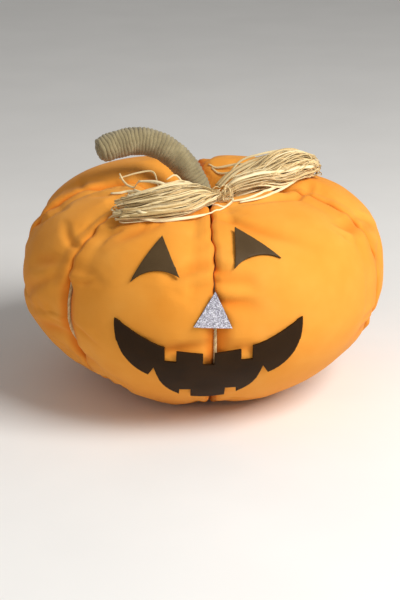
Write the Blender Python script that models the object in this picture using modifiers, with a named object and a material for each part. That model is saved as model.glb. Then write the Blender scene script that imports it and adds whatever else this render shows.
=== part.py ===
"""A stuffed pumpkin cushion, made as the real one is.

A bag of plain cotton is stuffed, and a jute twine is laid round it three times, crossing itself under the stem and
under the base. It draws the bag in to six uneven lobes. The stem is a bent core wound with twine, a hank of raffia is
tied round its foot, and a cut-out face of foam sheet is glued to the front.

Metres, +Z up. The origin is on the floor under the middle of the cushion, and the face looks along -Y.
An azimuth is measured from the front (-Y) towards the right (+X), seen from above.
"""

import math

import bmesh
import bpy
from mathutils import Matrix, Vector
from mathutils.bvhtree import BVHTree

for leftover in list(bpy.data.objects):
    bpy.data.objects.remove(leftover, do_unlink=True)

parts = bpy.data.collections.new("Pumpkin cushion")
helpers = bpy.data.collections.new("Cutters and guides")
bpy.context.scene.collection.children.link(parts)
bpy.context.scene.collection.children.link(helpers)

# Driving dimensions
REACH = 0.1765  # from the axis to the outside of a middling lobe
MIDDLE = 0.109  # height of the widest line over the floor
ABOVE = 0.104  # height of the bag over its widest line
BELOW = 0.121  # depth of the bag under its widest line, before it settles on the floor
TWINE_RADIUS = 0.0017
STEM_RADIUS = 0.0138
FOAM = 0.002  # thickness of the foam sheet that the face is cut from
GAP = 0.0004  # left between pieces that touch


def smoothstep(low, high, value):
    t = min(1.0, max(0.0, (value - low) / (high - low)))
    return t * t * (3 - 2 * t)


def table_value(rows, at, column=1):
    """Reads a column of a table whose rows start with a place, with an eased line between the rows."""
    for row, following in zip(rows, rows[1:]):
        if at <= following[0]:
            return row[column] + (following[column] - row[column]) * smoothstep(row[0], following[0], at)
    return rows[-1][column]


def smooth_route(points, spacing):
    """Evenly spaced points, about the spacing apart, on a smooth curve through a route's own points."""
    knots = [Vector(p) for p in points]
    knots = [2 * knots[0] - knots[1], *knots, 2 * knots[-1] - knots[-2]]
    fine = []
    for a, b, c, d in zip(knots, knots[1:], knots[2:], knots[3:]):
        for step in range(24):
            t = step / 24
            fine.append(
                0.5 * ((2 * b) + (c - a) * t + (2 * a - 5 * b + 4 * c - d) * t**2 + (3 * b - a - 3 * c + d) * t**3)
            )
    fine.append(knots[-2])
    along = [0.0]
    for first, second in zip(fine, fine[1:]):
        along.append(along[-1] + (second - first).length)
    spaced, at = [], 0
    spans = round(along[-1] / spacing)
    for step in range(spans + 1):
        wanted = along[-1] * step / spans
        while at < len(along) - 2 and along[at + 1] < wanted:
            at += 1
        t = (wanted - along[at]) / (along[at + 1] - along[at])
        spaced.append(fine[at].lerp(fine[at + 1], t))
    return spaced


def material(name, colour, roughness, metallic=0.0):
    made = bpy.data.materials.new(name)
    made.use_nodes = True
    shader = made.node_tree.nodes["Principled BSDF"]
    shader.inputs["Base Color"].default_value = (*colour, 1.0)
    shader.inputs["Roughness"].default_value = roughness
    shader.inputs["Metallic"].default_value = metallic
    return made


orange_cotton = material("orange cotton", (0.87, 0.34, 0.04), 0.75)
jute_twine = material("jute twine", (0.42, 0.33, 0.20), 0.9)
wound_twine = material("wound twine", (0.30, 0.26, 0.18), 0.9)
dried_raffia = material("dried raffia", (0.66, 0.50, 0.28), 0.65)
brown_foam = material("brown foam sheet", (0.035, 0.02, 0.012), 0.6)
glitter_foam = material("silver glitter foam sheet", (0.55, 0.56, 0.62), 0.35, 0.3)


def add(name, mesh, coat, collection=parts):
    made = bpy.data.objects.new(name, mesh)
    collection.objects.link(made)
    if coat is not None:
        made.data.materials.append(coat)
    if collection is helpers:
        made.hide_render = True
        made.display_type = "WIRE"
    return made


def tube(name, points, radius, coat, sides=1, closed=False, swellings=None):
    """A round cord through points. Swellings, one a point, scale its radius."""
    curve = bpy.data.curves.new(name, "CURVE")
    curve.dimensions = "3D"
    spline = curve.splines.new("POLY")
    spline.points.add(len(points) - 1)
    for knot, place in zip(spline.points, points):
        knot.co = (*place, 1.0)
    if swellings is not None:
        spline.points.foreach_set("radius", swellings)
    spline.use_cyclic_u = closed
    curve.use_fill_caps = not closed
    curve.bevel_depth = radius
    curve.bevel_resolution = sides
    return add(name, curve, coat)


def mesh_of(bm, name):
    mesh = bpy.data.meshes.new(name)
    bm.to_mesh(mesh)
    bm.free()
    mesh.shade_smooth()
    return mesh


# The stuffed bag, drawn in by the twine

SEAMS = (-89.0, -47.0, 3.5, 73.0, 128.0, 183.5)  # azimuths of the six grooves, two for each turn of the twine

# Across a lobe: 0 is its middle, and -1 and 1 are the grooves beside it. The columns crowd towards the grooves.
LOBE_COLUMNS = (-1.0, -0.92, -0.78, -0.58, -0.32, 0.0, 0.32, 0.58, 0.78, 0.92)
RINGS = 42
RING_CROWDING = 0.38  # draws the rings towards the crown and the base, where the bag dimples

# The lobes' own shapes. Swell is how much further one reaches than a middling lobe. Shoulder and hip say how square
# it is over and under its widest line, where 2 is an ellipse.
LOBES = (
    # azimuth of its middle, swell, shoulder, hip
    (-133, 0.0022, 3.5, 2.00),
    (-68, 0.0045, 2.5, 1.72),
    (-22, 0.0010, 2.9, 1.92),
    (38, 0.0000, 2.9, 1.88),
    (100, 0.0032, 2.9, 1.98),
    (156, 0.0015, 3.0, 2.00),
    (227, 0.0022, 3.5, 2.00),
)

# How deep the twine draws the bag in, by latitude
GROOVE_DEPTH = (
    (-90, 0.0145),
    (-78, 0.0190),
    (-62, 0.0170),
    (-48, 0.0150),
    (-30, 0.0125),
    (0, 0.0105),
    (25, 0.0130),
    (45, 0.0180),
    (62, 0.0190),
    (80, 0.0140),
    (90, 0.0130),
)

SEAT_HEIGHT = 0.178  # where the foot of the stem stands, in the dimple of the crown
SEAT_RADIUS = 0.018
CROWN_DIMPLE = 0.078  # radius of the dimple
BASE_HEIGHT = 0.004  # how far the lobes lift off the floor round the middle of the base
BASE_DIMPLE = 0.044
PIT_RADIUS, PIT_EDGE = 0.0095, 0.012  # the pit where the turns of twine cross, and the width of its rim
FLOOR_BLEND = 0.003
FOLD_FADE = 0.6  # how much of a fold is lost at the bottom of a groove

# Main folds of the cloth: troughs pulled towards the grooves, in metres, with their run turned from the horizontal
FOLDS = (
    # azimuth, latitude, turn, half length, half width, depth
    (-57, -12, 8, 0.020, 0.0070, 0.0035),
    (-45, -20, -38, 0.024, 0.0070, 0.0038),
    (-49, 8, 20, 0.014, 0.0060, 0.0022),
    (-60, 20, 15, 0.022, 0.0080, 0.0026),
    (10, 26, -40, 0.022, 0.0070, 0.0040),
    (12, 10, -15, 0.022, 0.0080, 0.0030),
    (14, -3, 2, 0.040, 0.0075, 0.0026),
    (-10, -3, -2, 0.036, 0.0075, 0.0026),
    (-4, 30, 40, 0.020, 0.0070, 0.0030),
    (26, 47, -32, 0.034, 0.0075, 0.0032),
    (-28, 46, 38, 0.024, 0.0080, 0.0030),
    (66, 34, -35, 0.024, 0.0070, 0.0040),
    (80, 28, -30, 0.026, 0.0075, 0.0040),
    (78, 8, 25, 0.024, 0.0075, 0.0030),
    (80, -14, -12, 0.022, 0.0070, 0.0032),
    (66, -16, 20, 0.022, 0.0070, 0.0028),
    (-103, 24, 25, 0.026, 0.0080, 0.0034),
    (-92, 6, -20, 0.024, 0.0080, 0.0030),
    (121, 22, 20, 0.026, 0.0080, 0.0034),
    (134, 4, -18, 0.024, 0.0080, 0.0030),
    (176, 18, 22, 0.026, 0.0080, 0.0034),
    (190, -2, -16, 0.028, 0.0080, 0.0032),
    (184, 34, -30, 0.022, 0.0070, 0.0030),
    (246, -14, 12, 0.024, 0.0080, 0.0030),
)


def heading(azimuth):
    return Vector((math.sin(azimuth), -math.cos(azimuth), 0.0))


def lobe_shape(azimuth):
    """Swell, shoulder and hip of the bag at an azimuth."""
    degrees = (math.degrees(azimuth) - LOBES[0][0]) % 360 + LOBES[0][0]
    return [table_value(LOBES, degrees, column) for column in (1, 2, 3)]


def settle(z):
    """The floor presses the base flat, with a short eased edge."""
    if z <= -FLOOR_BLEND:
        return 0.0
    if z >= FLOOR_BLEND:
        return z
    return (z + FLOOR_BLEND) ** 2 / (4 * FLOOR_BLEND)


def bag_profile(azimuth, latitude):
    """Reach and height of the stuffed bag with no groove, and its outward slope as (out, up)."""
    swell, shoulder, hip = lobe_shape(azimuth)
    half, square = (ABOVE, shoulder) if latitude > 0 else (BELOW, hip)
    c, s = max(0.0, math.cos(latitude)), abs(math.sin(latitude))
    full = REACH + swell
    outward, upward = c ** (2 / square), math.copysign(s ** (2 / square), latitude)
    slope = Vector((outward ** (square - 1) / full, math.copysign(abs(upward) ** (square - 1), latitude) / half))
    return full * outward, MIDDLE + half * upward, slope.normalized()


def dimple(out, height):
    """How far the middle of the crown and of the base is drawn in, at this reach."""
    if height > MIDDLE:
        return (SEAT_HEIGHT - height) * (1 - smoothstep(SEAT_RADIUS, CROWN_DIMPLE, out))
    return (BASE_HEIGHT - height) * (1 - smoothstep(SEAT_RADIUS, BASE_DIMPLE, out))


def fullness(across, out):
    """1 on top of a lobe and 0 in the groove. It drops to 0 in the pit under the stem."""
    bulge = (1 - abs(across) ** 3) ** 0.7
    return bulge * smoothstep(PIT_RADIUS, PIT_RADIUS + PIT_EDGE, out)


def fold_depth(azimuth, latitude, out):
    total = 0.0
    for at, lat, turn, length, width, depth in FOLDS:
        sideways = (math.degrees(azimuth) - at + 180) % 360 - 180
        x = math.radians(sideways) * out
        y = (latitude - math.radians(lat)) * ABOVE
        c, s = math.cos(math.radians(turn)), math.sin(math.radians(turn))
        total += depth * math.exp(-(((x * c + y * s) / length) ** 2) - ((y * c - x * s) / width) ** 2)
    return total


def bag_point(azimuth, latitude, across):
    out, height, slope = bag_profile(azimuth, latitude)
    depth = table_value(GROOVE_DEPTH, math.degrees(latitude)) * (1 - fullness(across, out))
    depth += fold_depth(azimuth, latitude, out) * (1 - FOLD_FADE * abs(across) ** 6)
    shift = dimple(out, height)
    out -= slope.x * depth
    height += shift - slope.y * depth
    return heading(azimuth) * max(0.0, out) + Vector((0, 0, settle(height)))


def ring_latitude(share):
    """Latitude of a ring, from its share of the way from the crown's pole to the base's."""
    return math.pi / 2 - (math.pi * share - RING_CROWDING * math.sin(2 * math.pi * share))


def lobe_place(column):
    """(azimuth, place across its lobe) of one column of points."""
    lobe, step = divmod(column, len(LOBE_COLUMNS))
    start = SEAMS[lobe]
    end = SEAMS[lobe + 1] if lobe + 1 < len(SEAMS) else SEAMS[0] + 360
    across = LOBE_COLUMNS[step]
    return math.radians(start + (end - start) * (across + 1) / 2), across


def build_cushion():
    columns = len(SEAMS) * len(LOBE_COLUMNS)
    bm = bmesh.new()
    bmesh.ops.create_uvsphere(bm, u_segments=columns, v_segments=RINGS, radius=1.0)
    for vert in bm.verts:
        latitude = ring_latitude(math.acos(max(-1.0, min(1.0, vert.co.z))) / math.pi)
        column = round(math.atan2(vert.co.y, vert.co.x) / (2 * math.pi / columns)) % columns
        azimuth, across = lobe_place(column)
        vert.co = bag_point(azimuth, latitude, across)
    return add("cushion", mesh_of(bm, "cushion"), orange_cotton)


def tree_of(*objects):
    """A search tree of the faces of some objects."""
    graph = bpy.context.evaluated_depsgraph_get()
    places, faces = [], []
    for one in objects:
        mesh = bpy.data.meshes.new_from_object(one.evaluated_get(graph))
        first = len(places)
        places += [vert.co.copy() for vert in mesh.vertices]
        faces += [tuple(first + corner for corner in face.vertices) for face in mesh.polygons]
        bpy.data.meshes.remove(mesh)
    return BVHTree.FromPolygons(places, faces)


cushion = build_cushion()
cushion_tree = tree_of(cushion)


def clearance(point):
    return cushion_tree.find_nearest(point)[3]


# Twine in the grooves, laid round three times

TWINE_RINGS = range(2, RINGS - 1)  # the rings of the bag that the twine has a point over
STACK_REACH = 0.016  # past this the turns have come down beside each other
UPRIGHT_REACH = 0.034  # inside this the twine lies straight over or under the bag's dimples
STACK_STEP = 2 * TWINE_RADIUS + GAP
PILE_BED = 0.0015  # the lowest turn's height over the bottom of the pit
TWINE_NUDGE, TWINE_NUDGES = 0.0001, 60  # the twine is lifted by this much, so many times, where it nears the bag
QUARTERS = (0.0, 0.25, 0.5, 0.75, 1.0)  # places along a short stretch that are held clear of the bag


def groove_place(azimuth, ring):
    """(point of the groove's bed, outward direction) at a ring of the bag."""
    latitude = ring_latitude(ring / RINGS)
    bed = bag_point(azimuth, latitude, 1.0)
    if math.hypot(bed.x, bed.y) < UPRIGHT_REACH:
        return bed, Vector((0, 0, math.copysign(1, latitude)))
    low = bag_point(azimuth, ring_latitude((ring + 0.2) / RINGS), 1.0)
    high = bag_point(azimuth, ring_latitude((ring - 0.2) / RINGS), 1.0)
    outward = (low - high).cross(heading(azimuth + math.pi / 2)).normalized()
    if outward.dot(heading(azimuth)) * math.cos(latitude) + outward.z * math.sin(latitude) < 0:
        outward.negate()
    return bed, outward


def crossing(turn, top):
    """The height at which this turn of the twine crosses the others, on the axis."""
    pit = bag_point(0.0, math.pi / 2 if top else -math.pi / 2, 1.0).z
    away = TWINE_RADIUS + PILE_BED + turn * STACK_STEP
    return pit + away if top else pit - away


def stacked(point, turn, top):
    """Lifts a point near the axis on to the pile where the turns cross."""
    share = 1 - smoothstep(0.004, STACK_REACH, math.hypot(point.x, point.y))
    return Vector((point.x, point.y, point.z + (crossing(turn, top) - point.z) * share))


def too_near(first, second):
    """Whether the twine between two points would touch the bag."""
    return any(clearance(first.lerp(second, share)) < TWINE_RADIUS + GAP for share in QUARTERS)


def twine_loop(name, turn, near_azimuth, far_azimuth):
    """One turn of twine, down the near groove and up the far one, eased outwards where it would touch the bag."""
    points = [Vector((0, 0, crossing(turn, True)))]
    ways = [Vector((0, 0, 1))]
    for azimuth, rings in ((near_azimuth, TWINE_RINGS), (far_azimuth, reversed(TWINE_RINGS))):
        if azimuth == far_azimuth:
            points.append(Vector((0, 0, crossing(turn, False))))
            ways.append(Vector((0, 0, -1)))
        for ring in rings:
            bed, outward = groove_place(math.radians(azimuth), ring)
            points.append(stacked(bed + outward * (TWINE_RADIUS + GAP), turn, ring < RINGS / 2))
            ways.append(outward)
    for _ in range(TWINE_NUDGES):
        for at in range(len(points)):
            following = (at + 1) % len(points)
            if too_near(points[at], points[following]):
                for one in {at, following} - {0, len(TWINE_RINGS) + 1}:
                    points[one] += ways[one] * TWINE_NUDGE
    return tube(name, points, TWINE_RADIUS, jute_twine, closed=True)


twine_loops = (
    twine_loop("twine_loop_front", 0, SEAMS[2], SEAMS[5]),
    twine_loop("twine_loop_right", 1, SEAMS[3], SEAMS[0]),
    twine_loop("twine_loop_left", 2, SEAMS[1], SEAMS[4]),
)


# Stem, a bent core wound with jute twine from its foot to its end

STEM_FOOT = crossing(2, True) + TWINE_RADIUS + GAP
STEM_ROUTE = (
    (0.0, 0.0, STEM_FOOT),
    (-0.0004, 0.0001, STEM_FOOT + 0.006),
    (-0.0065, 0.002, 0.2013),
    (-0.0180, 0.006, 0.2195),
    (-0.0385, 0.009, 0.2370),
    (-0.0615, 0.009, 0.2440),
    (-0.0820, 0.005, 0.2422),
    (-0.0995, -0.001, 0.2375),
)
WINDING = 0.0035  # from one turn of the twine to the next
WINDING_VALLEY = 0.957  # the stem is this much thinner between two turns

# Thickness of the stem along its length, as a share of its full radius
STEM_TAPER = ((0, 0.90), (0.12, 0.90), (0.45, 1.0), (0.75, 1.03), (0.95, 1.0), (1.0, 0.82))


def build_stem():
    middle = smooth_route(STEM_ROUTE, WINDING / 2)
    swellings = [
        table_value(STEM_TAPER, at / (len(middle) - 1)) * (WINDING_VALLEY if at % 2 else 1.0)
        for at in range(len(middle))
    ]
    return tube("stem", middle, STEM_RADIUS, wound_twine, sides=3, swellings=swellings)


build_stem()


# Raffia, a hank that is tied round the foot of the stem and spreads over the crown to both sides

TIE_RADIUS = 0.0013
TIE_HEIGHT = 0.1845
TIE_ROUTE = (
    (-0.0158, -0.0030, 0),
    (-0.0142, 0.0070, 0),
    (-0.0050, 0.0150, 0),
    (0.0062, 0.0140, 0),
    (0.0140, 0.0060, 0),
    (0.0160, -0.0080, 0),
    (0.0195, -0.0260, 0),
    (0.0185, -0.0320, 0),
    (0.0150, -0.0280, 0),
    (0.0060, -0.0195, 0),
    (-0.0085, -0.0140, 0),
)


bed_tree = tree_of(cushion, *twine_loops)


def rest_height(place, away):
    """Height over a place, seen from above, at which a point is first this far from the bag and the twine."""
    over = bed_tree.ray_cast(Vector((place.x, place.y, 2 * SEAT_HEIGHT)), Vector((0, 0, -1)))[0]
    over.z += away
    while bed_tree.find_nearest(over)[3] < away:
        over.z += GAP / 4
    return over.z


def build_tie():
    middle = smooth_route((*TIE_ROUTE, TIE_ROUTE[0]), 0.005)[:-1]
    for place in middle:
        place.z = max(TIE_HEIGHT, rest_height(place, TIE_RADIUS + GAP))
    return tube("raffia_tie", middle, TIE_RADIUS, dried_raffia, closed=True)


build_tie()

LANES = 7  # strands side by side in a bundle
LAYERS = 3  # strands over each other
STRAND_WIDTH, STRAND_THICKNESS = 0.0018, 0.0011
KNOT_SPACE = 0.0008  # between strands where they leave the knot
KNOT_DEPTH, KNOT_TAPER = 0.008, 0.35  # the knot's length, and how much narrower its far end is
WAVER, WAVES = 0.05, 9  # how far a strand strays from its lane, as a share of the bundle's width, and how often
SETTLINGS = 4  # passes for each step of a strand, in which it is drawn taut
STRAND_GROWTH = ((0, 1.0), (0.3, 1.5), (0.8, 1.5), (1.0, 0.8))  # the strands' width along them


def bundle_side(route, share):
    """(place on the bundle's middle line, direction to its side), seen from above."""
    at = min(len(route) - 2, int(share * (len(route) - 1)))
    along = (route[at + 1] - route[at]).normalized()
    place = route[at].lerp(route[at + 1], share * (len(route) - 1) - at)
    return place, Vector((-along.y, along.x, 0.0))


def lane_line(route, spread, lane, knot_height, steps, reach):
    """Middles of a strand in the lowest layer, laid taut over the grooves and clear of the bag."""
    offset = lane / (LANES // 2)
    line, sides = [], []
    for step in range(steps + 1):
        share = reach * step / steps
        place, side = bundle_side(route, share)
        waver = WAVER * math.sin(WAVES * share + 2 * offset) * smoothstep(0, 0.3, share)
        line.append(place + side * (offset + waver) * table_value(spread, share))
        sides.append(side)
    for place in line:
        place.z = rest_height(place, STRAND_THICKNESS + GAP)
    line[0].z = knot_height
    for _ in range(steps * SETTLINGS):
        for before, place, after in zip(line, line[1:], line[2:]):
            place.z = max(place.z, (before.z + after.z) / 2 - GAP)
    for at in range(1, steps + 1):
        half = sides[at] * STRAND_WIDTH
        for way in (-1, 0, 1):
            for back in QUARTERS[:-1]:
                spot = line[at].lerp(line[at - 1], back) + half * way
                lift = max(0.0, rest_height(spot, STRAND_THICKNESS + GAP) - spot.z)
                for one in {at, max(1, at - 1)}:
                    line[one].z += lift
    return line, sides


def knot_block(bm, place, along):
    """The lump of the knot, with a cell in its front face for each strand. Returns the cells by (lane, layer)."""
    columns, rows = 2 * LANES + 1, 2 * LAYERS + 1
    grid = bmesh.ops.create_grid(bm, x_segments=columns, y_segments=rows, size=0.5)["verts"]
    side = Vector((-along.y, along.x, 0.0))
    width_pitch, height_pitch = STRAND_WIDTH + KNOT_SPACE, STRAND_THICKNESS + KNOT_SPACE
    local = {}
    for vert in grid:
        column, row = round((vert.co.x + 0.5) * columns), round((vert.co.y + 0.5) * rows)
        across = (column // 2) * width_pitch + (column % 2) * KNOT_SPACE - (LANES * width_pitch + KNOT_SPACE) / 2
        up = (row // 2) * height_pitch + (row % 2) * KNOT_SPACE - KNOT_SPACE - STRAND_THICKNESS / 2
        local[vert] = (across, up, column, row)
        vert.co = place + side * across + Vector((0, 0, up))
    cells = {}
    for face in bm.faces:
        column, row = min(local[v][2] for v in face.verts), min(local[v][3] for v in face.verts)
        if column % 2 and row % 2:
            cells[column // 2 - LANES // 2, row // 2] = face
    for face in bm.faces:
        if face.normal.dot(along) < 0:
            face.normal_flip()
    rim = [edge for edge in bm.edges if edge.is_boundary]
    far = bmesh.ops.extrude_edge_only(bm, edges=rim)["geom"]
    far_rim = [g for g in far if isinstance(g, bmesh.types.BMEdge) and g.is_boundary]
    middle = place + Vector((0, 0, (LAYERS - 1) * height_pitch / 2))
    for vert in {v for edge in far_rim for v in edge.verts}:
        vert.co = middle + (vert.co - middle) * KNOT_TAPER - along * KNOT_DEPTH
    bmesh.ops.contextual_create(bm, geom=far_rim)
    return cells


def grow_strand(bm, face, middle, sides):
    """Extrudes a cell of the knot along a strand's middles."""
    centre = face.calc_center_median()
    signs = []
    for vert in face.verts:
        away = vert.co - centre
        signs.append((math.copysign(1, away.dot(sides[0])), math.copysign(1, away.z)))
    for at in range(1, len(middle)):
        along = (middle[min(at + 1, len(middle) - 1)] - middle[at - 1]).normalized()
        side = (sides[at] - along * sides[at].dot(along)).normalized()
        up = along.cross(side)
        width = STRAND_WIDTH * table_value(STRAND_GROWTH, at / (len(middle) - 1))
        face = bmesh.ops.extrude_discrete_faces(bm, faces=[face])["faces"][0]
        for vert, (right, high) in zip(face.verts, signs):
            vert.co = middle[at] + side * (right * width / 2) + up * (high * STRAND_THICKNESS / 2)


def raised(line, heights):
    return [place + Vector((0, 0, height)) for place, height in zip(line, heights)]


def raffia_bundle(name, route, spread, fluff, steps, folded):
    """A fan of strands from its knot. Fluff is how far the layers stand apart. A folded bundle turns back at its end."""
    route = smooth_route(route, 0.002)
    along = (route[1] - route[0]).normalized()
    layer_pitch = STRAND_THICKNESS + KNOT_SPACE
    knot = route[0].copy()
    half = Vector((-along.y, along.x, 0.0)) * (LANES * (STRAND_WIDTH + KNOT_SPACE) / 2 + KNOT_SPACE)
    for deep in (0, 0.5, 1):
        for way in (-1, -0.5, 0, 0.5, 1):
            spot = knot + half * way * (1 - (1 - KNOT_TAPER) * deep) - along * KNOT_DEPTH * deep
            knot.z = max(knot.z, rest_height(spot, (1 - deep / 2) * layer_pitch))
    bm = bmesh.new()
    cells = knot_block(bm, knot, along)
    for lane in range(-(LANES // 2), LANES // 2 + 1):
        reach = 1 - 0.05 * ((3 * lane) % 4)
        line, sides = lane_line(route, spread, lane, knot.z, steps, reach)
        stand = [table_value(fluff, reach * step / steps) for step in range(steps + 1)]
        for layer in range(LAYERS):
            if folded and layer == 1:
                continue
            out, out_sides = raised(line, [layer * height for height in stand]), list(sides)
            if folded and layer == 0:
                turn = out[-1] + (out[-1] - out[-2]).normalized() * stand[-1] / 2 + Vector((0, 0, stand[-1] / 2))
                back = raised(line, stand)[:0:-1]
                out, out_sides = [*out, turn, *back], [*out_sides, sides[-1], *sides[:0:-1]]
            elif layer:
                shorter = layer + (lane % 2)
                out, out_sides = out[:-shorter], out_sides[:-shorter]
            grow_strand(bm, cells[lane, layer], out, out_sides)
    bmesh.ops.recalc_face_normals(bm, faces=bm.faces)
    return add(name, mesh_of(bm, name), dried_raffia)


KNOT_SPREAD = (LANES // 2) * (STRAND_WIDTH + KNOT_SPACE)

raffia_bundle(
    "raffia_left",
    route=((0.008, -0.037, 0), (-0.012, -0.060, 0), (-0.040, -0.083, 0), (-0.066, -0.084, 0), (-0.089, -0.072, 0)),
    spread=((0, KNOT_SPREAD), (0.25, 0.018), (0.55, 0.027), (0.8, 0.026), (1, 0.021)),
    fluff=((0, STRAND_THICKNESS + KNOT_SPACE), (0.4, 0.0075), (0.8, 0.0065), (1, 0.005)),
    steps=9,
    folded=False,
)
raffia_bundle(
    "raffia_right",
    route=((0.028, -0.035, 0), (0.044, -0.028, 0), (0.066, -0.010, 0), (0.088, 0.009, 0), (0.107, 0.026, 0)),
    spread=((0, KNOT_SPREAD), (0.25, 0.018), (0.5, 0.021), (0.8, 0.018), (1, 0.011)),
    fluff=((0, STRAND_THICKNESS + KNOT_SPACE), (0.3, 0.0095), (0.8, 0.0120), (1, 0.010)),
    steps=9,
    folded=True,
)


# Face, cut from foam sheet and glued on

SHEET_STEP = 0.012  # the sheet bends in steps of this size
FORM_START = 0.004  # the sheet is first held this far off, and then let down to the bag

EYE_BASE, EYE_INNER, EYE_OUTER = 0.045, 0.045, 0.051  # the three sides of an eye
EYE_HOLLOW = 0.0075  # how far its lower side curves in
NOSE_WIDTH, NOSE_HEIGHT = 0.035, 0.033

MOUTH_RISE = 0.022  # the tips of the smile over the middle of its upper edge
JAW_RADIUS = 0.048  # the lower edge is three arcs of this radius, one for the jaw and one for each cheek
JAW_DROP = 0.0155  # the middle of the jaw's arc under the middle of the upper edge
CHEEK_OUT, CHEEK_RISE = 0.037, 0.016  # the middle of a cheek's arc
MOUTH_HALF = CHEEK_OUT + JAW_RADIUS
TOOTH_GAP = 0.0105  # width of the square cuts between the teeth
TOP_CUTS = (0.0, 0.0345)  # places of the cuts in the upper edge, to each side
TOP_CUT_DEPTH = 0.0125
LOW_CUT, LOW_CUT_TOP = 0.021, -0.047  # place of the cut in the lower edge, and its top
NICK, NICK_HALF, NICK_TOP = 0.0495, 0.005, -0.018  # the pointed nick between jaw and cheek


def arc(middle, radius, start, end, steps):
    """Points on an arc, with its angles in degrees from +X towards +Y."""
    angles = [math.radians(start + (end - start) * step / steps) for step in range(steps + 1)]
    return [(middle[0] + radius * math.cos(a), middle[1] + radius * math.sin(a)) for a in angles]


def eye_outline():
    """From the inner corner along the hollow lower side, with the outer corner towards +X."""
    across = (EYE_BASE**2 + EYE_INNER**2 - EYE_OUTER**2) / (2 * EYE_BASE)
    top = math.sqrt(EYE_INNER**2 - across**2)
    radius = (EYE_BASE**2 / 4 + EYE_HOLLOW**2) / (2 * EYE_HOLLOW)
    spread = math.degrees(math.asin(EYE_BASE / 2 / radius))
    hollow = arc((EYE_BASE / 2, EYE_HOLLOW - radius), radius, 90 + spread, 90 - spread, 6)
    middle = ((EYE_BASE + across) / 3, top / 3)
    return [(x - middle[0], y - middle[1]) for x, y in [*hollow, (across, top)]]


def nose_outline():
    low = -NOSE_HEIGHT / 3
    return [(-NOSE_WIDTH / 2, low), (NOSE_WIDTH / 2, low), (0.0, low + NOSE_HEIGHT)]


def smile(x):
    """Height of the mouth's upper edge."""
    return MOUTH_RISE * (x / MOUTH_HALF) ** 2


def jaw(x):
    return -JAW_DROP - math.sqrt(JAW_RADIUS**2 - x**2)


def mouth_outline():
    """The right half from the middle of the upper edge to the middle of the lower edge, and its mirror image."""
    right = []
    for place in TOP_CUTS:
        for x in (place - TOOTH_GAP / 2, place + TOOTH_GAP / 2):
            corner, bottom = (x, smile(x)), (x, smile(place) - TOP_CUT_DEPTH)
            if x > 0:
                right += [corner, bottom] if x < place else [bottom, corner]
    right += [(x, smile(x)) for x in (0.050, 0.062, 0.074, MOUTH_HALF)]
    foot = -math.degrees(math.acos((NICK + NICK_HALF - CHEEK_OUT) / JAW_RADIUS))
    right += arc((CHEEK_OUT, CHEEK_RISE), JAW_RADIUS, 0, foot, 8)
    right += [(NICK, NICK_TOP)]
    right += [(x, jaw(x)) for x in (0.0455, 0.043, 0.040, 0.036, 0.031, LOW_CUT + TOOTH_GAP / 2)]
    right += [(LOW_CUT + TOOTH_GAP / 2, LOW_CUT_TOP), (LOW_CUT - TOOTH_GAP / 2, LOW_CUT_TOP)]
    right += [(x, jaw(x)) for x in (LOW_CUT - TOOTH_GAP / 2, 0.008)]
    return right + [(0.0, jaw(0.0))] + [(-x, y) for x, y in reversed(right)]


def build_form():
    """The bag with its grooves and folds bridged, which a stiff sheet bends to."""
    bm = bmesh.new()
    bm.from_mesh(cushion.data)
    hull = bmesh.ops.convex_hull(bm, input=bm.verts)["geom"]
    skin = {piece for piece in hull if isinstance(piece, bmesh.types.BMFace)}
    bmesh.ops.delete(bm, geom=[face for face in bm.faces if face not in skin], context="FACES")
    return add("face_form", mesh_of(bm, "face_form"), None, helpers)


face_form = build_form()


def flat_sheet(name, outline):
    """The outline as one flat mesh, cut into small cells so that it can bend."""
    curve = bpy.data.curves.new(name, "CURVE")
    curve.dimensions = "2D"
    curve.fill_mode = "BOTH"
    spline = curve.splines.new("POLY")
    spline.points.add(len(outline) - 1)
    for knot, (x, y) in zip(spline.points, outline):
        knot.co = (x, y, 0.0, 1.0)
    spline.use_cyclic_u = True
    drawn = add(name, curve, None)
    bm = bmesh.new()
    bm.from_mesh(bpy.data.meshes.new_from_object(drawn.evaluated_get(bpy.context.evaluated_depsgraph_get())))
    bpy.data.objects.remove(drawn, do_unlink=True)
    bmesh.ops.remove_doubles(bm, verts=bm.verts, dist=GAP / 10)
    bmesh.ops.dissolve_limit(bm, angle_limit=math.radians(1), verts=bm.verts, edges=bm.edges)
    for axis in (0, 1):
        reach = max(abs(vert.co[axis]) for vert in bm.verts)
        cuts = math.ceil(reach / SHEET_STEP)
        across = Vector((1 - axis, axis, 0))
        for cut in range(-cuts, cuts):
            everything = bm.verts[:] + bm.edges[:] + bm.faces[:]
            place = across * ((cut + 0.5) * SHEET_STEP)
            bmesh.ops.bisect_plane(bm, geom=everything, dist=GAP, plane_co=place, plane_no=across)
    bmesh.ops.triangulate(bm, faces=bm.faces)
    for face in bm.faces:
        if face.normal.z < 0:
            face.normal_flip()
    return mesh_of(bm, name)


def gap_to_cushion(piece):
    made = piece.evaluated_get(bpy.context.evaluated_depsgraph_get())
    places = [made.matrix_world @ vert.co for vert in made.data.vertices]
    faces = [tuple(face.vertices) for face in made.data.polygons]
    middles = [sum((places[corner] for corner in face), Vector()) / len(face) for face in faces]
    tree = BVHTree.FromPolygons(places, faces)
    nearest = min(clearance(place) for place in places + middles)
    for vert in cushion.data.vertices:
        found = tree.find_nearest(vert.co, FORM_START)
        if found[0] is not None:
            nearest = min(nearest, found[3])
    return nearest


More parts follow.
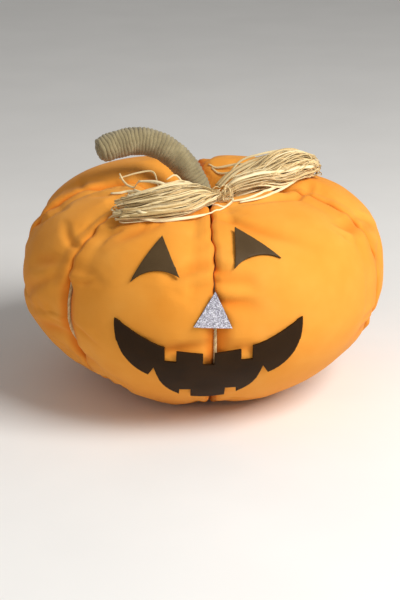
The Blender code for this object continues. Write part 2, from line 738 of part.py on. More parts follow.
def foam_piece(name, outline, azimuth, height, facing, roll, coat):
    """A foam shape held in front of the bag, square to its facing, and pressed on to the form straight back."""
    way = math.radians(azimuth)
    start = heading(way) * (3 * REACH) + Vector((0, 0, height))
    middle = cushion_tree.ray_cast(start, -heading(way))[0]
    turn = Matrix.Rotation(way, 4, "Z") @ Matrix.Rotation(math.radians(90 - facing), 4, "X")
    turn = turn @ Matrix.Rotation(math.radians(roll), 4, "Z")
    sheet = add(name, flat_sheet(name, outline), coat)
    sheet.matrix_world = Matrix.Translation(middle) @ turn @ Matrix.Translation((0, 0, REACH / 2))
    press = sheet.modifiers.new("Pressed on to the bag", "SHRINKWRAP")
    press.target = face_form
    press.wrap_method = "PROJECT"
    press.use_project_z = True
    press.use_positive_direction = False
    press.use_negative_direction = True
    press.offset = FORM_START
    foam = sheet.modifiers.new("Foam sheet", "SOLIDIFY")
    foam.thickness = FOAM
    foam.offset = 1.0
    for _ in range(4):
        bpy.context.view_layer.update()
        press.offset -= gap_to_cushion(sheet) - GAP
    return sheet


eye = eye_outline()
foam_piece("eye_left", [(-x, y) for x, y in reversed(eye)], -15.2, 0.173, 33, 10, brown_foam)
foam_piece("eye_right", eye, 16.3, 0.181, 43, 7, brown_foam)
foam_piece("nose", nose_outline(), 2.9, 0.130, 5, -4, glitter_foam)
foam_piece("mouth", mouth_outline(), 1.5, 0.095, -22, -0.5, brown_foam)
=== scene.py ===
"""The looks of the pumpkin cushion: a cotton bag drawn in by twine, a wound stem, raffia and a foam face.

Metres, +Z up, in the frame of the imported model. The face looks along -Y. An azimuth is measured from there
towards the right (+X), seen from above.
"""

import math
import random

import bmesh
import bpy
import numpy as np
from mathutils import Matrix, Vector
from mathutils.bvhtree import BVHTree


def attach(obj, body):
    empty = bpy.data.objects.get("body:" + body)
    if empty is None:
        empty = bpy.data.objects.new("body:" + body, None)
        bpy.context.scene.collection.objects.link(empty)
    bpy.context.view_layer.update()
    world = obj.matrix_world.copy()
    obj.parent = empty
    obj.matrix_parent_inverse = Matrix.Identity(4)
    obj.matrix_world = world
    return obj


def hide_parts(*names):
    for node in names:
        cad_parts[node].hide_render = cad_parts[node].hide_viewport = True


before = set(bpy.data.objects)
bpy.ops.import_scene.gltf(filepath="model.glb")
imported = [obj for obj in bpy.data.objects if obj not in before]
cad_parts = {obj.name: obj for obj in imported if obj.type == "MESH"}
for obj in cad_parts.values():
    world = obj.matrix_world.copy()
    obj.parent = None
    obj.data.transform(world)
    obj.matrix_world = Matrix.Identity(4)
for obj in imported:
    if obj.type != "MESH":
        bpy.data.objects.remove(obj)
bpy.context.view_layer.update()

bpy.ops.object.select_all(action="DESELECT")


# Camera, floor and light
# The cushion stands on a plain pale table and is seen from a little above its front. A large soft lamp
# hangs over it to the right, and a weaker one fills in from the left.

VIEW_DOWN = math.radians(20)
VIEW_DISTANCE = 1.6
VIEW_PIVOT = Vector((0, 0, 0.104))  # a point near the middle of the bag, on its axis
VIEW_RIGHT, VIEW_UP = -0.0035, -0.0205  # how far the lens stands off that point, across the view
LENS, SENSOR = 96, 36
FLOOR_SIZE = 12
WHITE = (1.0, 0.985, 0.96)

back = Vector((0, -math.cos(VIEW_DOWN), math.sin(VIEW_DOWN)))
upward = Vector((0, math.sin(VIEW_DOWN), math.cos(VIEW_DOWN)))
lens_place = VIEW_PIVOT + back * VIEW_DISTANCE + Vector((VIEW_RIGHT, 0, 0)) + upward * VIEW_UP
bpy.ops.object.camera_add(location=lens_place)
camera = bpy.context.object
camera.name = "camera"
camera.rotation_euler = back.to_track_quat("Z", "Y").to_euler()
camera.data.lens = LENS
camera.data.sensor_width = SENSOR
camera.data.clip_start, camera.data.clip_end = 0.05, 50
bpy.context.scene.camera = camera


def linear(code):
    """A colour for a shader, from its sRGB hex value."""
    channels = [int(code[at : at + 2], 16) / 255 for at in (1, 3, 5)]
    return tuple(c / 12.92 if c <= 0.04045 else ((c + 0.055) / 1.055) ** 2.4 for c in channels) + (1.0,)


def node(tree, kind, links=None, **settings):
    """Adds a shader node. Links gives each of its inputs a value, or the output of another node."""
    made = tree.nodes.new("ShaderNode" + kind)
    for setting, value in settings.items():
        setattr(made, setting, value)
    for name, value in (links or {}).items():
        if isinstance(value, bpy.types.NodeSocket):
            tree.links.new(value, made.inputs[name])
        else:
            made.inputs[name].default_value = value
    return made


def new_material(name, roughness, **sockets):
    """A material with the values that are the same all over it. Returns it, its tree and its shader."""
    made = bpy.data.materials.new(name)
    made.use_nodes = True
    shader = made.node_tree.nodes["Principled BSDF"]
    shader.inputs["Roughness"].default_value = roughness
    for socket, value in sockets.items():
        shader.inputs[socket.replace("_", " ")].default_value = value
    return made, made.node_tree, shader


def colour_steps(tree, factor, *stops):
    """A ramp between colours, each given as (place, hex)."""
    ramp = node(tree, "ValToRGB", {"Fac": factor})
    elements = ramp.color_ramp.elements
    while len(elements) < len(stops):
        elements.new(1.0)
    for element, (place, code) in zip(elements, stops):
        element.position = place
        element.color = linear(code)
    return ramp.outputs["Color"]


bpy.ops.mesh.primitive_plane_add(size=FLOOR_SIZE)
floor = bpy.context.object
floor.name = "floor"
# painted board, matt and nearly white, with the faintest mottling
painted, tree, shader = new_material("painted board", 0.8)
place = node(tree, "TexCoord").outputs["Object"]
mottle = node(tree, "TexNoise", {"Scale": 6.0, "Detail": 3.0, "Vector": place})
paint = colour_steps(tree, mottle.outputs["Fac"], (0.3, "#E9E8E6"), (0.7, "#EDECEA"))
tree.links.new(paint, shader.inputs["Base Color"])
floor.data.materials.append(painted)


def lamp(name, place, aim, size, power):
    """A square soft box at a place, turned to what it lights."""
    bpy.ops.object.light_add(type="AREA", location=place)
    made = bpy.context.object
    made.name = name
    made.rotation_euler = (Vector(place) - Vector(aim)).to_track_quat("Z", "Y").to_euler()
    made.data.size = size
    made.data.energy = power
    made.data.color = WHITE
    return made


lamp("key_lamp", (1.25, -0.85, 1.5), (0, 0, 0.12), 1.1, 50)
lamp("fill_lamp", (-0.7, -1.9, 0.9), (0, 0, 0.1), 1.6, 5)
world = bpy.data.worlds.new("studio")
bpy.context.scene.world = world
world.use_nodes = True
world.node_tree.nodes["Background"].inputs["Color"].default_value = (*WHITE, 1.0)
world.node_tree.nodes["Background"].inputs["Strength"].default_value = 0.30
bpy.context.scene.view_settings.view_transform = "Standard"


# Bag
# One piece of dyed plain-woven cotton, gathered to a bag and stuffed tight. Three turns of twine draw it in
# to six uneven lobes, which close over the twine in most places, and the cloth puckers where they meet.

REACH = 0.1765  # from the axis to the outside of a middling lobe
MIDDLE = 0.109  # height of the widest line
ABOVE, BELOW = 0.104, 0.121  # height and depth of the bag from there, before it settles on the floor
SEAMS = (-89.0, -47.0, 3.5, 73.0, 128.0, 183.5)  # azimuths of the grooves
SEAT_HEIGHT, SEAT_RADIUS, CROWN_DIMPLE = 0.178, 0.018, 0.078
BASE_HEIGHT, BASE_DIMPLE = 0.004, 0.044
PIT_RADIUS, PIT_EDGE = 0.0095, 0.012
FLOOR_BLEND = 0.003
FOLD_FADE = 0.6  # how much of a fold is lost at the bottom of a groove

# The lobes' own shapes: how much further each reaches, and how square it is over and under its widest line.
# The first lobe is repeated at the end, a whole turn on.
LOBES = (
    # azimuth of its middle, swell, shoulder, hip
    (-133, 0.0022, 3.5, 2.00),
    (-68, 0.0045, 2.5, 1.72),
    (-22, 0.0010, 2.9, 1.92),
    (38, 0.0000, 2.9, 1.88),
    (100, 0.0032, 2.9, 1.98),
    (156, 0.0015, 3.0, 2.00),
    (227, 0.0022, 3.5, 2.00),
)

GROOVE_DEPTH = (
    # latitude, depth
    (-90, 0.0145),
    (-78, 0.0190),
    (-62, 0.0170),
    (-48, 0.0150),
    (-30, 0.0125),
    (0, 0.0105),
    (25, 0.0130),
    (45, 0.0180),
    (62, 0.0190),
    (80, 0.0140),
    (90, 0.0130),
)

# How far the two lobes beside a groove close over the twine, 0 to 1, with a row for each latitude
CLOSING = {
    -89.0: ((-60, 0.7), (-30, 0.2), (0, 0.5), (20, 1.0), (56, 1.0), (72, 0.0)),
    -47.0: ((-62, 0.8), (-32, 1.0), (-17, 0.45), (-8, 0.15), (8, 0.25), (17, 1.0), (62, 1.0), (76, 0.0)),
    3.5: (
        (-60, 0.8), (-38, 0.6), (-20, 0.4), (-12, 0.25), (2, 0.3), (12, 0.9), (22, 1.0), (68, 1.0), (80, 0.0)
    ),
    73.0: ((-60, 0.6), (-32, 0.9), (-10, 1.0), (62, 1.0), (76, 0.0)),
    128.0: ((-60, 0.7), (-25, 0.2), (4, 0.3), (20, 1.0), (62, 1.0), (76, 0.0)),
    183.5: ((-60, 0.7), (-20, 0.9), (6, 0.4), (24, 1.0), (44, 1.0), (58, 0.0)),
}
CLOSED_FROM = 0.70  # the part of a lobe's half that turns in where the groove is closed
LIP_DEPTH = 0.0060  # how far the lobes' round edges drop before they meet
LIP_REACH = 0.0125  # and how far from the groove they begin to
LIP_GAP = 0.0005  # left between the two lobes where they meet
LIP_BLEND = 0.35  # the part of the turned-in cloth over which the lobe's own shape runs out
LIP_END, WALL_END = 0.55, 0.82  # the parts of it where the round edge ends, and the wall under that
WANDER = 0.35  # degrees that the line where they meet wanders to each side
CLOSED_REACH = (0.045, 0.07)  # the grooves are open inside the first reach and may close up to the second
LEAST_REACH = 0.02  # the turn of a point nearer to the axis is worked out as if it lay here
POCKET = 0.0026  # room for the twine under them, to each side

# Folds of the cloth: troughs in metres, with their run turned from the horizontal. A trough has a soft ridge
# along its upper side, as high as a share of its depth.
FOLDS = (
    # azimuth, latitude, turn, half length, half width, depth, ridge
    (-57, -12, 8, 0.020, 0.0070, 0.0035, 0.0),
    (-45, -20, -38, 0.024, 0.0070, 0.0038, 0.0),
    (-49, 8, 20, 0.014, 0.0060, 0.0022, 0.0),
    (-60, 20, 15, 0.022, 0.0080, 0.0026, 0.0),
    (10, 26, -40, 0.022, 0.0070, 0.0040, 0.0),
    (12, 10, -15, 0.022, 0.0080, 0.0030, 0.0),
    (14, -3, 2, 0.040, 0.0075, 0.0026, 0.0),
    (-10, -3, -2, 0.036, 0.0075, 0.0026, 0.0),
    (-4, 30, 40, 0.020, 0.0070, 0.0030, 0.0),
    (26, 47, -32, 0.034, 0.0075, 0.0032, 0.0),
    (-28, 46, 38, 0.024, 0.0080, 0.0030, 0.0),
    (66, 34, -35, 0.024, 0.0070, 0.0040, 0.0),
    (80, 28, -30, 0.026, 0.0075, 0.0040, 0.0),
    (78, 8, 25, 0.024, 0.0075, 0.0030, 0.0),
    (80, -14, -12, 0.022, 0.0070, 0.0032, 0.0),
    (66, -16, 20, 0.022, 0.0070, 0.0028, 0.0),
    (-103, 24, 25, 0.026, 0.0080, 0.0034, 0.0),
    (-92, 6, -20, 0.024, 0.0080, 0.0030, 0.0),
    (121, 22, 20, 0.026, 0.0080, 0.0034, 0.0),
    (134, 4, -18, 0.024, 0.0080, 0.0030, 0.0),
    (176, 18, 22, 0.026, 0.0080, 0.0034, 0.0),
    (190, -2, -16, 0.028, 0.0080, 0.0032, 0.0),
    (184, 34, -30, 0.022, 0.0070, 0.0030, 0.0),
    (246, -14, 12, 0.024, 0.0080, 0.0030, 0.0),
    # finer creases at the front groove and over the eyes
    (15, 58, -38, 0.017, 0.0028, 0.0022, 0.5),
    (9, 30, -52, 0.010, 0.0040, 0.0040, 0.6),
    (8, 23, -30, 0.010, 0.0035, 0.0036, 0.5),
    (9, 12, -12, 0.011, 0.0040, 0.0030, 0.6),
    (-1, 46, 62, 0.012, 0.0030, 0.0014, 0.4),
    (-2, 20, 48, 0.012, 0.0035, 0.0020, 0.4),
    (-9, -7, 6, 0.020, 0.0050, 0.0030, 0.5),
    (16, -8, -5, 0.024, 0.0050, 0.0028, 0.5),
    (-18, 57, 60, 0.016, 0.0030, 0.0015, 0.5),
    (-24, 55, 74, 0.014, 0.0028, 0.0013, 0.5),
    (-31, 54, 50, 0.012, 0.0030, 0.0013, 0.5),
    # puckers at the left groove and soft folds in the lobe behind it
    (-39, 15, 18, 0.009, 0.0024, 0.0020, 0.6),
    (-36, 46, 30, 0.008, 0.0026, 0.0016, 0.5),
    (-39, -6, -24, 0.016, 0.0030, 0.0022, 0.5),
    (-51, -6, 4, 0.012, 0.0026, 0.0016, 0.5),
    (-56, 12, 28, 0.026, 0.0045, 0.0018, 0.4),
    (-54, 34, -24, 0.016, 0.0040, 0.0016, 0.4),
    (-67, 4, 22, 0.022, 0.0050, 0.0014, 0.4),
    (-70, 60, 30, 0.014, 0.0035, 0.0020, 0.6),
    # the cluster of puckers beside the right groove
    (58, 33, -58, 0.014, 0.0026, 0.0026, 0.7),
    (63, 29, 72, 0.010, 0.0028, 0.0026, 0.6),
    (69, 33, 84, 0.014, 0.0030, 0.0022, 0.6),
    (75, 30, -62, 0.018, 0.0034, 0.0026, 0.6),
    (79, 20, -76, 0.020, 0.0036, 0.0022, 0.5),
    (84, 30, -50, 0.020, 0.0036, 0.0024, 0.5),
    (66, 16, 80, 0.018, 0.0030, 0.0016, 0.5),
    (62, 4, 84, 0.022, 0.0030, 0.0014, 0.5),
    (66, -8, 12, 0.012, 0.0030, 0.0020, 0.5),
    (48, 66, -6, 0.030, 0.0030, 0.0018, 0.6),
    (66, 64, -4, 0.024, 0.0034, 0.0020, 0.6),
    (7, -50, -70, 0.012, 0.0040, 0.0026, 0.4),
    (13, -47, -12, 0.014, 0.0035, 0.0020, 0.4),
    # the same at the back
    (118, 36, 60, 0.016, 0.0032, 0.0022, 0.6),
    (134, 30, -58, 0.018, 0.0034, 0.0024, 0.6),
    (140, 50, 20, 0.020, 0.0034, 0.0018, 0.5),
    (122, 8, 78, 0.014, 0.0030, 0.0016, 0.5),
    (176, 40, 55, 0.016, 0.0032, 0.0022, 0.6),
    (191, 28, -60, 0.018, 0.0034, 0.0024, 0.6),
    (178, -8, 24, 0.016, 0.0034, 0.0018, 0.5),
    (200, 52, -24, 0.020, 0.0034, 0.0018, 0.5),
    (-95, 40, -60, 0.016, 0.0032, 0.0022, 0.6),
    (-83, 32, 58, 0.016, 0.0032, 0.0022, 0.6),
    (-97, 4, -76, 0.014, 0.0030, 0.0016, 0.5),
    (-103, 54, 24, 0.020, 0.0034, 0.0018, 0.5),
    (228, 10, 10, 0.024, 0.0045, 0.0014, 0.4),
    (158, 2, -14, 0.024, 0.0045, 0.0014, 0.4),
)

LOBE_STEPS = 48  # columns of points in each lobe
RINGS = 320
RING_CROWDING = 0.38  # draws the rings towards the crown and the base
COLUMNS = LOBE_STEPS * len(SEAMS)
HOLLOW_FOLD = 0.0052  # a fold this deep counts as a full hollow


def eased(low, high, value):
    t = np.clip((value - low) / (high - low), 0.0, 1.0)
    return t * t * (3 - 2 * t)


def table_value(rows, at, column=1):
    """Reads a column of a table whose rows start with a place, with an eased line between the rows."""
    at = np.asarray(at, float)
    total = np.full(at.shape, float(rows[0][column]))
    for row, following in zip(rows, rows[1:]):
        total += (following[column] - row[column]) * eased(row[0], following[0], at)
    return total


def bag_profile(azimuth, latitude):
    """Reach and height of the stuffed bag with no groove, and its outward slope, in degrees and metres."""
    degrees = (azimuth - LOBES[0][0]) % 360 + LOBES[0][0]
    swell, shoulder, hip = (table_value(LOBES, degrees, column) for column in (1, 2, 3))
    top = latitude > 0
    half, square = np.where(top, ABOVE, BELOW), np.where(top, shoulder, hip)
    c = np.clip(np.cos(np.radians(latitude)), 0, None)
    s = np.abs(np.sin(np.radians(latitude)))
    sign = np.where(top, 1.0, -1.0)
    full = REACH + swell
    outward, up = c ** (2 / square), s ** (2 / square)
    slope_out, slope_up = outward ** (square - 1) / full, sign * up ** (square - 1) / half
    length = np.hypot(slope_out, slope_up)
    return full * outward, MIDDLE + sign * half * up, slope_out / length, slope_up / length


def fold_depth(azimuth, latitude, out):
    total = np.zeros_like(out)
    for at, lat, turn, length, width, depth, ridge in FOLDS:
        x = np.radians((azimuth - at + 180) % 360 - 180) * out
        y = np.radians(latitude - lat) * ABOVE
        c, s = math.cos(math.radians(turn)), math.sin(math.radians(turn))
        along, across = (x * c + y * s) / length, (y * c - x * s) / width
        shape = np.exp(-(across**2)) - ridge * np.exp(-(((across - 1.9) / 1.5) ** 2))
        total += depth * np.exp(-(along**2)) * shape
    return total


def groove_closing(azimuth, latitude):
    """How far the groove nearest to each point is closed, and the degrees from its middle to the point."""
    seams = np.array(SEAMS)
    away = (azimuth[..., None] - seams + 180) % 360 - 180
    nearest = np.abs(away).argmin(-1)
    total = np.zeros_like(latitude)
    for number, seam in enumerate(SEAMS):
        total = np.where(nearest == number, table_value(CLOSING[seam], latitude), total)
    return total, np.take_along_axis(away, nearest[..., None], -1)[..., 0]


def bag_points(azimuth, latitude, across, closed=True):
    """Points of the bag at places in degrees. Across is 0 on top of a lobe and 1 or -1 in its grooves."""
    out, height, slope_out, slope_up = bag_profile(azimuth, latitude)
    flat = np.abs(across)
    full = (1 - flat**3) ** 0.7 * eased(PIT_RADIUS, PIT_RADIUS + PIT_EDGE, out)
    bed = table_value(GROOVE_DEPTH, latitude)
    depth = bed * (1 - full)
    folds = fold_depth(azimuth, latitude, out) * (1 - FOLD_FADE * flat**6)
    if closed:
        weight, away = groove_closing(azimuth, latitude)
        side = np.where(away < 0, -1.0, 1.0)
        turn_in = np.clip((flat - CLOSED_FROM) / (1 - CLOSED_FROM), 0, 1)
        turning_reach = np.maximum(out, LEAST_REACH)
        distance = np.abs(np.radians(away)) * turning_reach
        # from the shoulder of the lip, over its round edge, down the wall and into the pocket round the twine
        roll = np.clip(turn_in / LIP_END, 0, 1)
        near = np.clip(LIP_REACH * (1 - np.sin(roll * math.pi / 2)), 0, None) + LIP_GAP
        drop = LIP_DEPTH * (1 - np.cos(roll * math.pi / 2))
        wall_run = np.clip((turn_in - LIP_END) / (WALL_END - LIP_END), 0, 1)
        drop += wall_run * np.clip(bed - LIP_DEPTH - POCKET, 0, None)
        pocket = np.clip((turn_in - WALL_END) / (1 - WALL_END), 0, 1)
        near += POCKET * np.sin(pocket * math.pi) * 0.9
        near *= 1 - eased(0.75, 1.0, pocket)
        drop += POCKET * pocket * (bed > LIP_DEPTH)
        drop = np.minimum(drop, bed)
        weight = weight * eased(0.0, LIP_BLEND, turn_in) * eased(*CLOSED_REACH, out)
        distance = distance * (1 - weight) + near * weight
        depth = depth * (1 - weight) + drop * weight
        azimuth = azimuth - away + side * np.degrees(distance / turning_reach)
        wander = np.sin(latitude * 0.21) + 0.5 * np.sin(latitude * 0.62 + 1)
        azimuth = azimuth + WANDER * wander * weight * (1 - pocket)
    depth = depth + folds
    upper = height > MIDDLE
    shift = np.where(
        upper,
        (SEAT_HEIGHT - height) * (1 - eased(SEAT_RADIUS, CROWN_DIMPLE, out)),
        (BASE_HEIGHT - height) * (1 - eased(SEAT_RADIUS, BASE_DIMPLE, out)),
    )
    out = np.maximum(0.0, out - slope_out * depth)
    z = height + shift - slope_up * depth
    settled = (z + FLOOR_BLEND) ** 2 / (4 * FLOOR_BLEND)
    z = np.where(z <= -FLOOR_BLEND, 0.0, np.where(z >= FLOOR_BLEND, z, settled))
    turn = np.radians(azimuth)
    return np.stack([np.sin(turn) * out, -np.cos(turn) * out, z], -1)


def ring_latitude(share):
    """Latitude of a ring in degrees, from its share of the way from the crown's pole to the base's."""
    return np.degrees(math.pi / 2 - (math.pi * share - RING_CROWDING * np.sin(2 * math.pi * share)))


def bag_places(rings, step):
    """Arrays of azimuth, latitude and place across the lobe, with one row for each ring between the poles."""
    t = np.arange(-1, 1, 2 / LOBE_STEPS)
    across = 0.55 * np.sin(t * math.pi / 2) + 0.45 * t
    ends = (*SEAMS[1:], SEAMS[0] + 360)
    azimuth = np.concatenate([start + (end - start) * (across + 1) / 2 for start, end in zip(SEAMS, ends)])
    across = np.tile(across, len(SEAMS))
    latitude = ring_latitude(np.arange(1, rings) / rings)
    azimuth, latitude_grid = np.meshgrid(azimuth[::step], latitude)
    across_grid = np.meshgrid(across[::step], latitude)[0]
    return azimuth, latitude_grid, across_grid


def grid_mesh(name, points, top, bottom):
    """A closed mesh from a grid of points that goes round, with a pole over it and one under it."""
    rings, columns = points.shape[:2]
    places = [*points.reshape(-1, 3).tolist(), list(top), list(bottom)]
    at = np.arange(rings * columns).reshape(rings, columns)
    following = np.roll(at, -1, 1)
    quads = np.stack([at[:-1], at[1:], following[1:], following[:-1]], -1).reshape(-1, 4).tolist()
    pole = rings * columns
    quads += [[pole, a, b] for a, b in zip(at[0].tolist(), following[0].tolist())]
    quads += [[pole + 1, b, a] for a, b in zip(at[-1].tolist(), following[-1].tolist())]
    mesh = bpy.data.meshes.new(name)
    mesh.from_pydata(places, [], quads)
    mesh.shade_smooth()
    return mesh


def show(name, mesh, *coats):
    """A new object for a mesh whose places are final."""
    made = bpy.data.objects.new(name, mesh)
    bpy.context.scene.collection.objects.link(made)
    for coat in coats:
        mesh.materials.append(coat)
    return made


SIM_STEP = 2  # the simulation keeps every second column
SIM_RINGS = 120
SIM_INWARD = 0.0045  # the bag starts this much smaller and swells
CLOTH_SPARE = 0.05  # how much more cloth there is than the bag's surface
SIM_FRAMES = 20
SIM_LEAN = 0.35  # the bag shrinks towards points of its axis that are drawn this much to its middle
SIM_HELD_REACH = 0.024  # the cloth inside this is gathered and doesn't move
WRINKLE_MOST = 0.0030  # no pucker moves the cloth further than this
WRINKLE_PASSES = 6  # what this many passes even out is the bag's shape and not a pucker


def blurred(values, passes):
    """A grid that goes round, evened out a little at each pass."""
    for _ in range(passes):
        values = (values + np.roll(values, 1, 1) + np.roll(values, -1, 1)) / 3
        padded = np.concatenate([values[:1], values, values[-1:]])
        values = (padded[:-2] + padded[1:-1] + padded[2:]) / 3
    return values


def puckers():
    """The small puckers that the spare cloth makes, as a shift of each point of the simulation's grid."""
    azimuth, latitude, across = bag_places(SIM_RINGS, SIM_STEP)
    start = bag_points(azimuth, latitude, across, closed=False)
    inward = -start
    inward[..., 2] = (MIDDLE - start[..., 2]) * SIM_LEAN
    inward /= np.linalg.norm(inward, axis=-1, keepdims=True)
    free = 1 - eased(0.80, 1.0, np.abs(across))
    start = start + inward * (SIM_INWARD * free)[..., None]
    top, bottom = (0, 0, float(start[0, :, 2].mean())), (0, 0, float(start[-1, :, 2].mean()))
    cloth_piece = show("stuffed_bag", grid_mesh("stuffed_bag", start, top, bottom))
    reach = np.hypot(start[..., 0], start[..., 1])
    held = (np.abs(across) > 0.999) | (reach < SIM_HELD_REACH) | (start[..., 2] < 0.002)
    group = cloth_piece.vertex_groups.new(name="held by the twine")
    group.add(np.flatnonzero(held.ravel()).tolist() + [held.size, held.size + 1], 1.0, "REPLACE")
    cloth = cloth_piece.modifiers.new("Stuffed cotton", "CLOTH")
    cloth.settings.quality = 6
    cloth.settings.mass = 0.2
    cloth.settings.tension_stiffness = 25
    cloth.settings.compression_stiffness = 12
    cloth.settings.shear_stiffness = 8
    cloth.settings.bending_stiffness = 0.15
    cloth.settings.shrink_min = cloth.settings.shrink_max = -CLOTH_SPARE
    cloth.settings.vertex_group_mass = group.name
    cloth.settings.use_pressure = True
    cloth.settings.uniform_pressure_force = 4
    cloth.settings.effector_weights.gravity = 0
    for at in range(1, SIM_FRAMES + 1):
        bpy.context.scene.frame_set(at)
    bpy.ops.object.select_all(action="DESELECT")
    cloth_piece.select_set(True)
    bpy.context.view_layer.objects.active = cloth_piece
    bpy.ops.object.modifier_apply(modifier=cloth.name)
    places = np.empty(len(cloth_piece.data.vertices) * 3)
    cloth_piece.data.vertices.foreach_get("co", places)
    swollen = places.reshape(-1, 3)[: held.size].reshape(start.shape)
    bpy.data.objects.remove(cloth_piece, do_unlink=True)
    bpy.context.scene.frame_set(1)
    moved = swollen - start
    moved -= blurred(moved, WRINKLE_PASSES)
    size = np.linalg.norm(moved, axis=-1, keepdims=True)
    print("puckers: largest %.2f mm, middling %.2f mm" % (size.max() * 1000, np.median(size) * 1000))
    moved *= np.minimum(1, WRINKLE_MOST / np.maximum(size, 1e-6))
    return moved * (1 - held)[..., None]


def resampled(values, rings):
    """The simulation's shifts read at the finer grid's places."""
    at = np.arange(1, rings) / rings * SIM_RINGS - 1
    low = np.clip(np.floor(at).astype(int), 0, values.shape[0] - 2)
    share = np.clip(at - low, 0, 1)[:, None, None]
    down = values[low] * (1 - share) + values[low + 1] * share
    fine = np.empty((rings - 1, COLUMNS, 3))
    fine[:, ::2] = down
    fine[:, 1::2] = (down + np.roll(down, -1, 1)) / 2
    return fine


azimuths, latitudes, acrosses = bag_places(RINGS, 1)
bag_grid = bag_points(azimuths, latitudes, acrosses)
lobe_top = 1 - eased(0.78, 0.97, np.abs(acrosses))
bag_grid += blurred(resampled(puckers(), RINGS), 1) * lobe_top[..., None]
bag_grid[..., 2] = np.maximum(bag_grid[..., 2], 0.0)
poles = bag_points(np.zeros(2), np.array([90.0, -90.0]), np.ones(2))
bag_mesh = grid_mesh("cotton_bag", bag_grid, poles[0], poles[1])

# the weave's own map, in metres of cloth round the bag and from the crown down
lobe_line = bag_grid[:, LOBE_STEPS // 2]
run_down = np.concatenate([[0], np.cumsum(np.linalg.norm(np.diff(lobe_line, axis=0), axis=-1))])
cloth_map = bag_mesh.uv_layers.new(name="cloth")
corners = np.empty(len(bag_mesh.loops), int)
bag_mesh.loops.foreach_get("vertex_index", corners)
ring_of, column_of = np.divmod(np.minimum(corners, RINGS * COLUMNS), COLUMNS)
face_of = np.repeat(np.arange(len(bag_mesh.polygons)), [len(face.vertices) for face in bag_mesh.polygons])
most_of = np.zeros(len(bag_mesh.polygons), int)
np.maximum.at(most_of, face_of, column_of)
column_of = np.where((most_of[face_of] == COLUMNS - 1) & (column_of == 0), COLUMNS, column_of)
round_bag = np.radians(np.append(azimuths[0], azimuths[0][0] + 360)) * REACH
down_bag = np.append(run_down, run_down[-1])[np.minimum(ring_of, RINGS - 2)]
cloth_map.data.foreach_set("uv", np.stack([round_bag[column_of], down_bag], -1).ravel())

# how deep each point lies in a fold or a groove, 0 to 1, which the material reads to paint shade there
reach = np.hypot(bag_grid[..., 0], bag_grid[..., 1])
in_fold = np.clip(fold_depth(azimuths, latitudes, reach) / HOLLOW_FOLD, 0, 1) ** 1.5
in_groove = eased(0.74, 0.94, np.abs(acrosses)) * eased(0.02, 0.05, reach)
hollow = bag_mesh.attributes.new("hollow", "FLOAT", "POINT")
hollow.data.foreach_set("value", np.append(np.maximum(in_fold, in_groove).ravel(), [0, 0]))

THREADS = 0.0006  # two threads of the cotton
BAND_SCALE = 0.314  # a wave texture of this scale has one band in each unit

# plain-woven cotton, dyed orange and matt: a fine even grain, faint slubs, a soft bloom at grazing angles
orange_cotton, tree, shader = new_material(
    "dyed plain-woven cotton", 0.82, Sheen_Weight=0.04, Sheen_Roughness=0.45, Specular_IOR_Level=0.15
)
weave_map = node(tree, "UVMap", uv_map="cloth").outputs["UV"]
place = node(tree, "TexCoord").outputs["Object"]
bands = {"Vector": weave_map, "Scale": BAND_SCALE / THREADS, "Distortion": 0.4, "Detail": 1.0}
warp = node(tree, "TexWave", bands, bands_direction="X")
weft = node(tree, "TexWave", bands, bands_direction="Y")
woven = node(tree, "Math", {0: warp.outputs["Fac"], 1: weft.outputs["Fac"]}, operation="MULTIPLY")
stretched = node(tree, "Mapping", {"Vector": weave_map, "Scale": (60, 1400, 1)})
slubs = node(tree, "TexNoise", {"Vector": stretched.outputs["Vector"], "Scale": 1.0, "Detail": 2.0})
cloudy = node(tree, "TexNoise", {"Vector": place, "Scale": 16.0, "Detail": 3.0, "Roughness": 0.55})
dyed = colour_steps(tree, cloudy.outputs["Fac"], (0.25, "#E2902E"), (0.55, "#E89A3A"), (0.8, "#EBA346"))
grain = node(tree, "Math", {0: woven.outputs[0], 1: slubs.outputs["Fac"]}, operation="ADD")
shades = {"Value": grain.outputs[0], "From Min": 0.2, "From Max": 1.4, "To Min": 0.97, "To Max": 1.02}
shade = node(tree, "MapRange", shades).outputs["Result"]
toned = node(tree, "Mix", {0: 1.0, 6: dyed, 7: shade}, data_type="RGBA", blend_type="MULTIPLY")
# painted shade: in the folds and grooves the colour is made redder and deeper, standing in for their shade
# and for the light that comes off the cloth's own dye there
depth_read = node(tree, "Attribute", attribute_name="hollow").outputs["Fac"]
crease_shade_share = node(tree, "Math", {0: depth_read, 1: 0.8}, operation="MULTIPLY")
crease_shade_inputs = {0: crease_shade_share.outputs[0], 6: toned.outputs[2], 7: linear("#D96E12")}
crease_shaded = node(tree, "Mix", crease_shade_inputs, data_type="RGBA")
tree.links.new(crease_shaded.outputs[2], shader.inputs["Base Color"])
woven_bump = node(tree, "Bump", {"Height": grain.outputs[0], "Strength": 0.22, "Distance": 0.00025})
crinkle = node(tree, "TexNoise", {"Vector": place, "Scale": 70.0, "Detail": 4.0, "Roughness": 0.6})
crinkled = {"Height": crinkle.outputs["Fac"], "Strength": 0.25, "Distance": 0.0012}
soft_bump = node(tree, "Bump", {**crinkled, "Normal": woven_bump.outputs["Normal"]})
tree.links.new(soft_bump.outputs["Normal"], shader.inputs["Normal"])

cotton_bag = show("cotton_bag", bag_mesh, orange_cotton)
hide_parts("cushion")
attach(cotton_bag, "root")


# Twine
# Three-ply jute twine, laid round the bag three times. The turns lie at the bottom of the grooves and cross
# each other under the stem and under the base. They show only where the lobes don't close over them.

